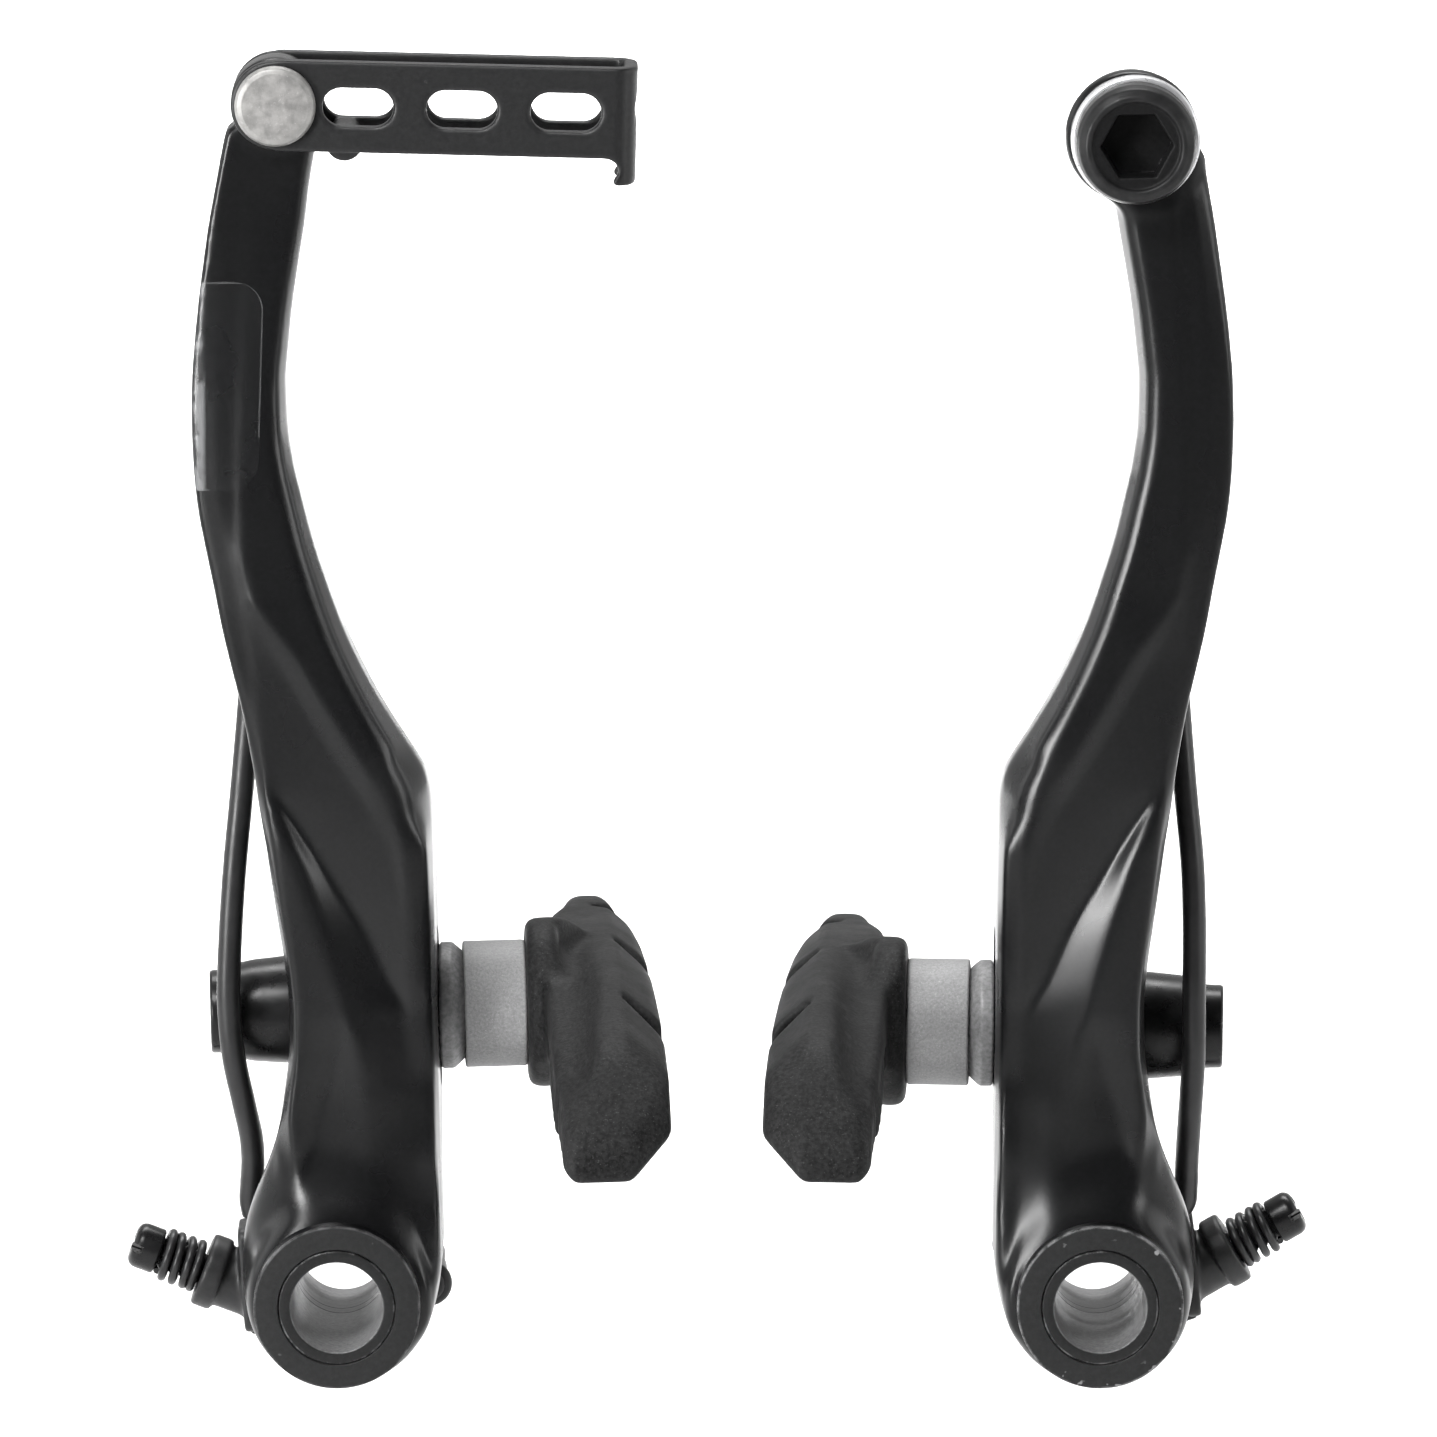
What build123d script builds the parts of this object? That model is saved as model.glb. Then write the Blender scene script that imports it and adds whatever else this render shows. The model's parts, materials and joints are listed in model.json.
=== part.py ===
from build123d import *
import math
import os

# Linear-pull bicycle brake (one wheel set): two forged arms on pivot bushes,
# each with a brake shoe on spherical washers, a return spring and a tension
# screw; the left arm carries a swinging cable link, the right arm the cable
# clamp.  Millimetres, +Z up, -Y is the front.  Y = 0 is the shoulder of the
# frame bosses, X = 0 lies midway between the two pivot axes.

# ---------------------------------------------------------------- dimensions
PIVOT_HALF = 33.5        # half of the pivot spacing
TILT_L = -1.2            # rest lean of the left arm about its pivot (deg, +Y)
TILT_R = 0.45            # rest lean of the right arm

BORE_R = 4.03            # 8 mm frame boss
BUSH_R = 5.10
ARM_BORE_R = 5.16
Y_FRONT = -24.0          # front face of boss and bush
Y_BUSH_REAR = -9.1
Y_HUB_REAR = -5.2
BOSS_R = 8.2
BOSS_RING_R = 7.33
BOSS_REAR = -9.3

STUD_Y, STUD_Z = -8.0, 23.5      # brake shoe stud axis, on the arm
SPHERE_X = 6.3                   # centre of the spherical washers
SPHERE_R = 7.0
WASHER_R = 5.6
CUP_RIM = 5.15                   # rim of the cup washers, from the ball centre
FACE_X = 9.3                     # inner face of the arm
WEB_X = 3.3                      # outer face of the arm's web
SLOT_HALF_W, SLOT_HALF_L = 3.4, 3.8

EYE_L = (-2.62, 106.1)           # link pivot on the left arm
EYE_L_R = 3.85
EYE_R = (-1.75, 103.25)          # cable clamp on the right arm
EYE_R_R = 6.05
EYE_R_REAR = 5.0                 # the clamp eye narrows towards the back
EYE_R_OFF = 0.25                 # outline of the clamp eye, off its hole
EYE_Y = -17.0
CLAMP_Y = -20.9                  # front face of the clamp eye
CABLE_WASHER_T = 1.3
BOLT_HEAD = 3.5

LINK_ANGLE = 1.4                 # rest slope of the link, down towards +X
LINK_LEN = 31.3
LINK_H = 4.0
LINK_END_R = 3.9
LINK_T = 1.25
LINK_GAP = 4.4

PAD_FRONT, PAD_BACK = 40.0, 27.0  # shoe length before and behind the stud
PAD_H = 9.0
RIM_R = 290.0
PAD_TOE = 2.4

SCREW_ANGLE = 25.0
SCREW_Y = -6.0
SCREW_P = (-9.0, -1.44)
SCREW_R = 1.48
HOLDER_TURN = {"left": -4.0, "right": 5.5}      # rest turn of each spring holder about its boss (deg, outer end up)
STOP = {"left": (7.55, -2.6), "right": (6.9, 2.2)}   # stop pin of each holder, in a different hole of its boss
STOP_R, STOP_TIP_R, STOP_STEP = 1.5, 1.25, 0.2

# --------------------------------------------------------------- interpolation


def curve(table, z):
    """Monotone cubic through (z, value) pairs."""
    zs = [p[0] for p in table]
    vs = [p[1] for p in table]
    n = len(zs)
    if z <= zs[0]:
        return vs[0]
    if z >= zs[-1]:
        return vs[-1]
    d = [(vs[i + 1] - vs[i]) / (zs[i + 1] - zs[i]) for i in range(n - 1)]
    m = [d[0]] + [0.0] * (n - 2) + [d[-1]]
    for i in range(1, n - 1):
        if d[i - 1] * d[i] > 0:
            w1 = 2 * (zs[i + 1] - zs[i]) + (zs[i] - zs[i - 1])
            w2 = (zs[i + 1] - zs[i]) + 2 * (zs[i] - zs[i - 1])
            m[i] = (w1 + w2) / (w1 / d[i - 1] + w2 / d[i])
    i = max(k for k in range(n - 1) if zs[k] <= z)
    h = zs[i + 1] - zs[i]
    t = (z - zs[i]) / h
    return (
        (2 * t**3 - 3 * t**2 + 1) * vs[i]
        + (t**3 - 2 * t**2 + t) * h * m[i]
        + (-2 * t**3 + 3 * t**2) * vs[i + 1]
        + (t**3 - t**2) * h * m[i + 1]
    )


# ------------------------------------------------------------- arm form tables
# x runs towards the wheel, z up from the pivot.
XO = [(-6, -6.2), (-4, -7.5), (-1, -8.2), (2, -8.45), (4.5, -8.4), (7.2, -7.92), (10.2, -6.65), (11.7, -5.98), (15.3, -4.82),
      (18.9, -4.2), (22.5, -3.73), (26, -3.66), (29.7, -3.93), (33.3, -4.4), (37, -4.88), (40.5, -5.3), (44, -5.78),
      (47.6, -6.2), (53, -7.06), (56.5, -7.82), (60, -8.55), (63.7, -9.17), (67.2, -9.8), (70.8, -10.38),
      (74.3, -10.65), (78, -10.73), (81.4, -10.63), (85, -10.32), (88.4, -9.91), (92, -9.38), (95.5, -8.84),
      (99, -8.2), (102.5, -7.6), (105, -7.0)]
XI = [(-6, 5.6), (-4, 7.2), (-1, 8.5), (1, 9.0), (4, 9.3), (8, 9.3), (44.6, 9.3), (46.2, 8.95), (47.6, 8.2), (49.4, 7.1),
      (53, 5.0), (56.5, 3.28), (60, 1.85), (63.7, 0.63), (67.2, -0.4), (70.8, -1.22), (74.3, -1.95), (78, -2.37),
      (81.4, -2.42), (85, -2.08), (88.4, -1.65), (92, -1.03), (95.5, -0.4), (99, 0.11), (102.5, 0.8), (105, 1.3)]
YP = [(-6, -16.0), (4, -16.6), (10, -17.6), (17, -18.6), (30, -18.9), (40, -18.9), (46, -19.3), (52, -19.9), (58, -20.1), (92, -20.05), (105, -19.7)]
B1 = [(-6, 5.2), (4, 6.5), (7, 5.7), (10, 3.8), (13, 2.0), (17, 0.75), (30, 0.58), (45, 0.7), (52, 1.0), (58, 1.6), (66, 2.1), (80, 2.25), (92, 1.9), (105, 1.5)]
Y1 = [(-6, -21.8), (4, -21.7), (8, -21.3), (11, -21.0), (14, -20.95), (26, -21.0), (40, -21.0), (47, -20.55), (56, -20.6), (66, -20.9), (92, -20.75), (105, -20.4)]
# soft hollow between the outer bar and the lobe that runs up from the boss
XC = [(-6, -3.0), (4, -3.4), (7.2, -3.6), (10, -2.9), (13, -2.04), (17.1, -1.05), (20.4, -0.1), (23.1, 0.7), (25, 0.95), (28.6, -0.3), (37.4, -2.7), (43.4, -4.5), (47, -5.6), (64, -7.6), (105, -5.6)]
YC = [(-6, -22.0), (5, -21.8), (8, -21.3), (10, -20.85), (12, -20.5), (14, -20.3), (18, -20.2), (22, -20.5), (26, -21.2), (40, -21.3), (47, -20.6), (56, -20.65), (66, -21.0), (92, -20.8), (105, -20.5)]
# crest of that bar, and the foot of its step down to the hollow panel
X2 = [(-6, 5.0), (4, 5.9), (7.9, 5.6), (11, 4.9), (14.4, 4.2), (18.3, 3.4), (22.9, 2.15), (25.9, 1.15), (28.6, 0.54), (32.5, -0.5), (37.4, -2.0), (40.4, -2.8), (43.4, -4.0), (46.5, -5.4), (50, -5.9), (64, -7.3), (105, -5.3)]
Y2 = [(-6, -22.0), (5, -21.85), (9, -21.4), (12, -21.1), (16, -21.05), (20, -21.1), (26, -21.3), (40, -21.25), (44, -20.95), (47, -20.65), (56, -20.7), (66, -21.05), (92, -20.85), (105, -20.55)]
X3 = [(-6, 5.3), (4, 6.2), (7.9, 6.1), (11, 5.4), (14.4, 4.65), (18.3, 3.95), (22.9, 2.7), (25.9, 1.7), (28.6, 1.1), (32.5, 0.05), (37.4, -1.45), (40.4, -2.3), (43.4, -3.6), (46.5, -5.2), (50, -5.7), (64, -7.1), (105, -5.1)]
Y3 = [(-6, -22.0), (5, -21.8), (9, -21.3), (12, -20.98), (16, -20.9), (20, -20.9), (26, -21.12), (38, -21.1), (42, -20.9), (46, -20.7), (56, -20.75), (66, -21.1), (92, -20.9), (105, -20.6)]
# foot of the sloping panel, and the ridge above it
XQ = [(-6, 5.6), (4, 6.6), (7.9, 6.5), (11, 5.7), (14.4, 4.9), (16.5, 5.6), (18, 6.4), (25, 6.9), (28.6, 5.05), (33, 3.1), (37.8, 0.3), (42, -2.2), (46.9, -4.95), (56, -6.0), (64, -6.9), (105, -4.9)]
YQ = [(-6, -22.0), (5, -21.75), (9, -21.2), (12, -20.75), (16, -20.2), (20, -19.75), (25, -19.65), (30, -19.7), (34, -19.75), (38, -19.95), (42, -20.25), (46, -20.58), (56, -20.8), (66, -21.2), (92, -21.0), (105, -20.7)]
X4 = [(-6, 5.8), (4, 6.8), (7.9, 6.7), (11, 5.9), (14.4, 5.1), (16.5, 5.8), (18, 6.8), (25, 7.15), (37, 7.2), (40, 7.0), (43.2, 6.1), (47, 3.9), (52.5, 0.7), (57.5, -2.1), (61.4, -4.9), (63.5, -6.5), (66, -6.9), (105, -4.7)]
Y4 = [(-6, -22.0), (5, -21.7), (9, -21.15), (12, -20.72), (16, -20.18), (20, -19.78), (25, -19.9), (28, -20.3), (33, -20.85), (38, -21.4), (44, -21.85), (50, -22.0), (58, -21.8), (64, -21.4), (92, -21.1), (105, -20.8)]
B5 = [(-6, 3.6), (4, 4.1), (8, 4.1), (11, 4.0), (14.4, 3.9), (16.5, 3.2), (18, 2.2), (25, 1.95), (40, 1.95), (43, 2.4), (46, 2.9), (49, 2.4), (53, 2.0), (60, 1.85), (70, 1.75), (105, 1.5)]
Y5 = [(-6, -21.2), (5, -20.9), (9, -20.45), (12, -20.5), (16, -20.15), (20, -19.75), (25, -19.88), (28, -20.2), (33, -20.7), (38, -21.2), (44, -21.6), (50, -21.75), (58, -21.6), (64, -21.3), (92, -21.0), (105, -20.7)]
Y6 = [(-6, -16.5), (10, -16.8), (17, -17.3), (25, -17.4), (36, -17.9), (46, -16.9), (52, -17.6), (60, -18.2), (105, -17.8)]
# slope between the ridge and the panel below it, and the break in the inner bevel
WB = [(-6, 0.2), (25, 0.2), (30, 0.25), (36, 0.7), (40, 1.3), (46, 1.75), (58, 1.75), (62, 1.2), (66, 0.4), (105, 0.2)]
DB = [(-6, 0.02), (25, 0.02), (33, 0.2), (40, 0.55), (46, 0.8), (56, 0.75), (61, 0.5), (66, 0.1), (105, 0.03)]
BM = [(-6, 0.4), (40, 0.4), (44, 1.6), (47, 1.7), (50, 0.9), (56, 0.75), (105, 0.65)]
DM = [(-6, 0.4), (40, 0.4), (44, 0.6), (47, 0.75), (53, 0.7), (105, 0.62)]
YR = [(-6, -9.5), (9.5, -9.5), (12.5, -6.0), (15.5, -2.2), (36, -1.9), (40, -4.0), (44, -8.0), (48, -12.4), (52, -13.2), (105, -13.2)]
YN = [(-6, -9.5), (3.5, -9.55), (7, -12.9), (11.5, -13.4), (14.5, -15.6), (36, -15.6), (44, -14.2), (52, -13.3), (105, -13.3)]
XW = [(-6, -4.0), (6, -2.0), (10, 2.0), (14, WEB_X), (36, WEB_X), (40, 2.6), (46, 0.0), (56, -3.0), (74, -7.0), (105, -3.0)]
TOP_L = [(62, 0.0), (76, 0.2), (90, 0.72), (100.2, 1.0), (106, 1.0)]   # thinning of the left arm's upper end towards its eye


def squeeze(y, z, half, side):
    """Draws a surface in towards the eye's mid plane near the left arm's top."""
    k = curve(TOP_L, z)
    limit = EYE_Y + side * half
    return y + k * (limit - y) if (y - limit) * side > 0 else y


def section(z, left):
    xo, xi = curve(XO, z), curve(XI, z)
    g = 0.18
    x1 = xo + curve(B1, z)
    xs = [x1]
    x4, y4, y5 = curve(X4, z), curve(Y4, z), curve(Y5, z)
    for x in (curve(XC, z), curve(X2, z), curve(X3, z), curve(XQ, z), x4 - curve(WB, z), x4):
        xs.append(max(x, xs[-1] + g))
    xs.append(xi - curve(B5, z))
    for i in range(6, 0, -1):
        xs[i] = min(xs[i], xs[i + 1] - g)
    xs.append(max(xi - curve(BM, z), xs[-1] + g))
    ys = [curve(table, z) for table in (Y1, YC, Y2, Y3, YQ)] + [y4 + curve(DB, z), y4, y5, y5 + curve(DM, z)]
    yr, yn, yp = curve(YR, z), curve(YN, z), curve(YP, z)
    yn = min(yn, yr - 0.06)
    xw = curve(XW, z)
    xw = min(max(xw, xo + 1.8), xi - 2.2)
    pts = [(xo, yp)] + list(zip(xs, ys)) + [(xi, curve(Y6, z)), (xi, yr - 1.0), (xi - 1.0, yr), (xw, yr), (xw, yn), (xo + 1.2, yn),
                                            (xo + 0.1, max(yn - 1.2, yp + 0.4))]
    if left:
        pts = [(x, squeeze(squeeze(y, z, 2.05, -1), z, 2.05, 1)) for x, y in pts]
        k = curve(TOP_L, z)
        # keep the rear vertices apart where the arm thins
        pts[14] = (pts[14][0], pts[14][1] - 0.03 * k)
        pts[15] = (pts[15][0], pts[15][1] - 0.05 * k)
    return pts


FLARE_R, FLARE_Y, FLARE_H = 8.3, -22.1, 1.7     # cone that carries the arm's face down to the boss: small radius, front plane, depth
FLARE_X, FLARE_W = 1.2, 2.2     # middle and half width of the flare's front
STATIONS = [-5.5, -3, 0, 3, 6, 8, 9, 10, 11, 12.5, 14, 16, 18, 20, 22.5, 26, 30, 34, 37, 40, 43, 45.2, 47, 49, 51.5, 54.5, 57.5, 60.5, 63.5,
            67, 71, 75, 79, 83, 87, 91, 95, 98, 100.5, 102.5]


def ycyl(x, z, r, y0, y1):
    """Cylinder along Y between two depths."""
    return Pos(x, (y0 + y1) / 2, z) * Rot(90, 0, 0) * Cylinder(r, abs(y1 - y0))


def xcyl(x0, x1, r, y=STUD_Y, z=STUD_Z):
    """Cylinder along X between two abscissae."""
    return Pos((x0 + x1) / 2, y, z) * Rot(0, 90, 0) * Cylinder(r, abs(x1 - x0))


def one(shape):
    """The single solid of a result."""
    s = shape.solids()
    if len(s) != 1:
        s = sorted(s, key=lambda k: -k.volume)
        print("  note: kept the largest of", len(s), [round(k.volume, 3) for k in s])
    return s[0]


def arm(left):
    tops = STATIONS if left else [z for z in STATIONS if z < 101]
    wires = [Wire.make_polygon([Vector(x, y, z) for x, y in section(z, left)], close=True) for z in tops]
    body = Part() + Solid.make_loft(wires, ruled=True)
    body += ycyl(0, 0, BOSS_R, Y_FRONT + 1.4, BOSS_REAR)
    body += ycyl(0, 0, BOSS_RING_R, Y_FRONT, Y_FRONT + 2)
    flare = Pos(0, FLARE_Y - FLARE_H / 2 + FLARE_H, 0) * Rot(90, 0, 0) * Cone(FLARE_R + 1.5 * FLARE_H, FLARE_R, FLARE_H)
    sides = [(FLARE_X - FLARE_W, FLARE_Y), (FLARE_X + FLARE_W, FLARE_Y), (FLARE_X + FLARE_W + 1.9 * FLARE_H, FLARE_Y + FLARE_H), (FLARE_X - FLARE_W - 1.9 * FLARE_H, FLARE_Y + FLARE_H)]
    body += flare & (Pos(0, 0, 2.0) * extrude(make_face(Polyline(*sides, close=True)), 10))
    if left:
        body += ycyl(EYE_L[0], EYE_L[1], EYE_L_R, EYE_Y - 2.05, EYE_Y + 2.05)
        body -= ycyl(EYE_L[0], EYE_L[1], 2.35, -30, 0)
    else:
        depth = -13.3 - CLAMP_Y
        body += Pos(EYE_R[0] + EYE_R_OFF, CLAMP_Y + depth / 2, EYE_R[1]) * Rot(90, 0, 0) * Cone(EYE_R_REAR, EYE_R_R, depth)
        body -= ycyl(EYE_R[0], EYE_R[1], 3.0, -30, 0)
        body -= ycyl(EYE_R[0], EYE_R[1], 20, -40, CLAMP_Y) & (Pos(EYE_R[0], -30, EYE_R[1] + 2) * Box(16, 30, 15.5))
    body -= ycyl(0, 0, ARM_BORE_R, -30, 0)
    body -= Pos(0, 0.0, 0) * ycyl(0, 0, 30, BOSS_REAR, 10) & (Pos(0, -4, -1) * Box(40, 12, 21))
    slot = xcyl(-20, 20, SLOT_HALF_W, z=STUD_Z + SLOT_HALF_L) + xcyl(-20, 20, SLOT_HALF_W, z=STUD_Z - SLOT_HALF_L)
    slot += Pos(0, STUD_Y, STUD_Z) * Box(40, 2 * SLOT_HALF_W, 2 * SLOT_HALF_L)
    body -= slot
    body -= HOOK_HOLE
    return one(body)


HOOK_X, HOOK_Z = -7.6, 62.5
HOOK_HOLE = ycyl(HOOK_X, HOOK_Z, 0.8, -16.5, 0)


def spring_hook():
    """Stop on the arm's back that holds the return spring's upper end."""
    p = ycyl(HOOK_X, HOOK_Z, 0.8, -16.5, -12.9) + ycyl(HOOK_X, HOOK_Z, 1.0, -13.0, -10.6) + ycyl(HOOK_X, HOOK_Z, 1.3, -10.6, -9.8)
    return p


def ring(r0, r1, y0, y1, c=0.25):
    p = ycyl(0, 0, r1, y0, y1)
    p = chamfer(p.edges(), c)
    p -= ycyl(0, 0, r0, y0 - 1, y1 + 1)
    return one(p)


def bush():
    return ring(BORE_R, BUSH_R, Y_FRONT, Y_BUSH_REAR, 0.2)


def rear_collar():
    return ring(BORE_R, 5.7, Y_HUB_REAR, 0.0, 0.3)


SU = Vector(-math.cos(math.radians(SCREW_ANGLE)), 0, math.sin(math.radians(SCREW_ANGLE)))


def along(s0, s1, r):
    """Cylinder on the tension screw's axis between two distances from the flange."""
    mid = Vector(SCREW_P[0], SCREW_Y, SCREW_P[1]) + SU * ((s0 + s1) / 2)
    return Plane(origin=mid, z_dir=SU, x_dir=(0, 1, 0)) * Cylinder(r, abs(s1 - s0))


def spring_holder(stop):
    """Stamped bracket behind the arm: hub on the boss, ear with the stop pin, side flange with the screw's collar."""
    ex, ez, er = stop[0], stop[1], 2.1
    p = ycyl(0, 0, 5.7, Y_BUSH_REAR, Y_HUB_REAR)
    plate = make_face(Polyline((-8.3, 3.6), (-3, 5.4), (3, 5.2), (ex - 0.4, ez + er), (ex - 0.4, ez - er), (3, -5.4), (-3, -5.8), (-8.3, -5.2), close=True))
    p += Plane(origin=(0, Y_HUB_REAR, 0), x_dir=(1, 0, 0), z_dir=(0, -1, 0)) * extrude(plate, 1.6)
    p += ycyl(ex, ez, er, Y_HUB_REAR - 1.6, Y_HUB_REAR)
    flange = Pos(-8.35, -6.0, -0.75) * Box(1.3, 6.2, 9.5)
    flange = fillet(flange.edges().filter_by(Axis.X), 1.2)
    p += flange
    collar = along(-3.0, 2.3, 2.75) + chamfer(along(2.2, 3.8, 3.3).edges(), 0.2)
    p += collar & (Pos(-17.7, SCREW_Y, 0) * Box(20, 20, 30))
    p -= along(-6, 8, SCREW_R + 0.05)
    p -= ycyl(0, 0, BORE_R, -20, 5)
    p -= ycyl(ex, ez, STOP_R, -20, 5)
    return one(p)


def stop_pin(stop):
    """Pin pressed into the holder's ear; its thinner end sits in the frame boss's spring hole."""
    tip = ycyl(stop[0], stop[1], STOP_TIP_R, STOP_STEP, 6.0)
    tip = chamfer(tip.edges().sort_by(Axis.Y)[-1], 0.35)
    return one(Part() + tip + ycyl(stop[0], stop[1], STOP_R, Y_HUB_REAR - 1.6, STOP_STEP))


def tension_screw():
    head = along(8.0, 10.4, 2.05)
    head = fillet(head.edges().group_by(lambda e: e.center().X)[0], 0.6)
    p = along(-1.7, 0.4, 0.95) + along(0.4, 8.0, SCREW_R) + head
    end = Plane(origin=Vector(SCREW_P[0], SCREW_Y, SCREW_P[1]) + SU * 10.4, z_dir=SU, x_dir=(0, 1, 0))
    p -= end * Box(6, 0.8, 2.0)
    p -= end * Box(0.8, 2.6, 2.0)
    return one(p)


def screw_spring():
    wire_r, mean_r, length = 0.42, 2.0, 4.16
    base = Plane(origin=Vector(SCREW_P[0], SCREW_Y, SCREW_P[1]) + SU * 3.82, z_dir=SU, x_dir=(0, 1, 0))
    turns = 3.4
    pitch = (length - 2 * wire_r) / turns
    path = Helix(pitch, pitch * turns, mean_r)
    prof = Plane(origin=path @ 0, z_dir=path % 0) * Circle(wire_r)
    coil = sweep(prof, path, is_frenet=True)
    return base * Pos(0, 0, wire_r) * coil


# centre line of each return spring, from its foot in the holder up to the hook
SPRING_L = [(-6.5, -7.6, -4.4), (-6.52, -7.7, 1.0), (-6.64, -7.85, 2.7), (-7.65, -8.4, 4.5), (-7.95, -9.2, 6.3), (-7.85, -10.1, 8.1), (-7.7, -11.2, 10.1), (-7.75, -12.4, 12.4), (-8.35, -13.8, 16.0),
            (-9.2, -14.75, 20.5), (-9.6, -14.9, 25.5), (-9.45, -14.7, 31), (-9.1, -14.3, 36.5), (-8.35, -13.3, 44.5), (-7.55, -11.9, 54), (-6.95, -11.6, 65.5)]
SPRING_R = [(-6.5, -7.6, -4.4), (-6.52, -7.7, 1.0), (-6.7, -8.0, 3.6), (-7.75, -8.8, 5.8), (-7.95, -9.8, 7.8), (-7.95, -11.0, 9.9), (-8.0, -12.4, 12.4), (-8.15, -13.8, 16.0),
            (-8.35, -14.75, 20.5), (-8.35, -14.9, 26), (-8.35, -14.6, 32), (-8.2, -14.2, 37), (-7.5, -13.3, 44.5), (-6.75, -11.9, 54), (-6.05, -11.6, 65.5)]


def spring_line(side):
    """The line's foot turns with its holder; the rest stays."""
    a = math.radians(HOLDER_TURN[side])
    points = SPRING_L if side == "left" else SPRING_R
    foot = [(x * math.cos(a) + z * math.sin(a), y, z * math.cos(a) - x * math.sin(a)) for x, y, z in points[:3]]
    return foot + points[3:]


def spring_path(points):
    vs = [Vector(*p) for p in points]
    radii = []
    for a, b, c in zip(vs, vs[1:], vs[2:]):
        turn = math.radians((b - a).get_angle(c - b))
        short = min((b - a).length, (c - b).length)
        radii.append(min(0.45 * short / math.tan(turn / 2), 400))
    return FilletPolyline(*vs, radius=radii)


def rod(points, r, r_in=0.0):
    path = spring_path(points)
    e = Plane(origin=path @ 0, z_dir=path % 0)
    p = sweep(e * Circle(r), path)
    if r_in:
        p -= sweep(e * Circle(r_in), path)
    print("  rod length", round(path.length, 2), "volume share", round(p.volume / (path.length * math.pi * (r * r - r_in * r_in)), 4))
    return one(p)


SLEEVE_Z = (4.8, 57.0)


def return_spring(points):
    return rod(points, 0.75)


def spring_sleeve(points):
    return one(rod(points, 1.05, 0.76) & (Pos(0, 0, (SLEEVE_Z[0] + SLEEVE_Z[1]) / 2) * Box(60, 60, SLEEVE_Z[1] - SLEEVE_Z[0])))


def lens(x_flat, r, r_ball, r_hole):
    """Dome washer: flat on the plane x_flat, ball face outwards; as a profile turned about the stud axis."""
    s = 1 if x_flat > SPHERE_X else -1
    rim = SPHERE_X + s * math.sqrt(r_ball**2 - r**2)
    lip = SPHERE_X + s * math.sqrt(r_ball**2 - r_hole**2)
    mid_r = (r + r_hole) / 2
    mid = SPHERE_X + s * math.sqrt(r_ball**2 - mid_r**2)
    line = Polyline((lip, r_hole), (x_flat, r_hole), (x_flat, r), (rim, r))
    arc = ThreePointArc((rim, r), (mid, mid_r), (lip, r_hole))
    return Pos(0, STUD_Y, STUD_Z) * revolve(make_face(line + arc), Axis.X)


def dome_washer(inner):
    return one(Part() + lens(FACE_X if inner else WEB_X, WASHER_R, SPHERE_R, 3.7))


def cup_washer(inner):
    """Mating washer with a hollow ball seat on one side and a flat on the other."""
    s = 1 if inner else -1
    far = CUP_FAR if inner else NUT_IN
    r, h, c = SPHERE_R + 0.04, 3.05, 0.3
    rim = SPHERE_X + s * CUP_RIM
    rim_r = math.sqrt(r**2 - CUP_RIM**2)
    lip = SPHERE_X + s * math.sqrt(r**2 - h**2)
    mid_r = (rim_r + h) / 2
    mid = SPHERE_X + s * math.sqrt(r**2 - mid_r**2)
    line = Polyline((lip, h), (far, h), (far, WASHER_R - c), (far - s * c, WASHER_R), (rim, WASHER_R), (rim, rim_r))
    arc = ThreePointArc((rim, rim_r), (mid, mid_r), (lip, h))
    return one(Part() + Pos(0, STUD_Y, STUD_Z) * revolve(make_face(line + arc), Axis.X))


CUP_FAR, NUT_IN, NUT_OUT = 16.95, -1.95, -11.0


def stud():
    p = xcyl(-7.5, 20.5, 2.98) + xcyl(20.5, 22.6, 4.0)
    return one(p)


def nut():
    prof = make_face(Polyline((NUT_IN, 0), (NUT_IN, 4.75), (-3.0, 4.75), (-7.6, 4.55), (-9.0, 4.2), (NUT_OUT + 0.3, 3.65), (NUT_OUT, 3.4), (NUT_OUT, 0), close=True))
    p = Pos(0, STUD_Y, STUD_Z) * revolve(prof, Axis.X)
    p -= xcyl(-7.7, 0, 3.0)
    p -= Pos(NUT_OUT, STUD_Y, STUD_Z) * Rot(0, 90, 0) * extrude(RegularPolygon(2.55, 6, major_radius=False), 5.0, both=True)
    return one(p)


# cross-section of the shoe, x from the arm's axis and z from the stud, and its outline seen from above (y from the stud)
PAD_SECTION = [(19.8, 5.0), (24.8, 5.0), (28.3, 2.2), (28.3, -1.6), (24.6, -4.6), (19.9, -4.6), (18.6, -3.4), (18.6, 3.8)]   # x and height, across the block
PAD_PLAN = [(15, -30), (18.6, -30), (18.5, -PAD_FRONT + 1), (19.3, -PAD_FRONT), (25.2, -PAD_FRONT), (28.3, -PAD_FRONT + 3.6), (28.3, -20), (27.8, 0), (27.4, 16), (26.6, 24), (24.0, PAD_BACK),
            (21.0, PAD_BACK), (19.2, 23), (18.6, 18), (15, 18)]   # x and depth, along the block
PAD_NOSE = [(-PAD_FRONT - 2, -1.0), (-PAD_FRONT + 0.6, -1.0), (-PAD_FRONT + 9.5, 5.4), (-PAD_FRONT + 9.5, 9), (-PAD_FRONT - 2, 9)]   # depth and height, slope cut from the leading end
SHOE_DROP = {"left": 0.0, "right": 1.5}     # how far down its slot each shoe is clamped
SHOE_TURN = {"left": 0.5, "right": -1.8}    # how far each block is turned about its stud (deg)


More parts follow.
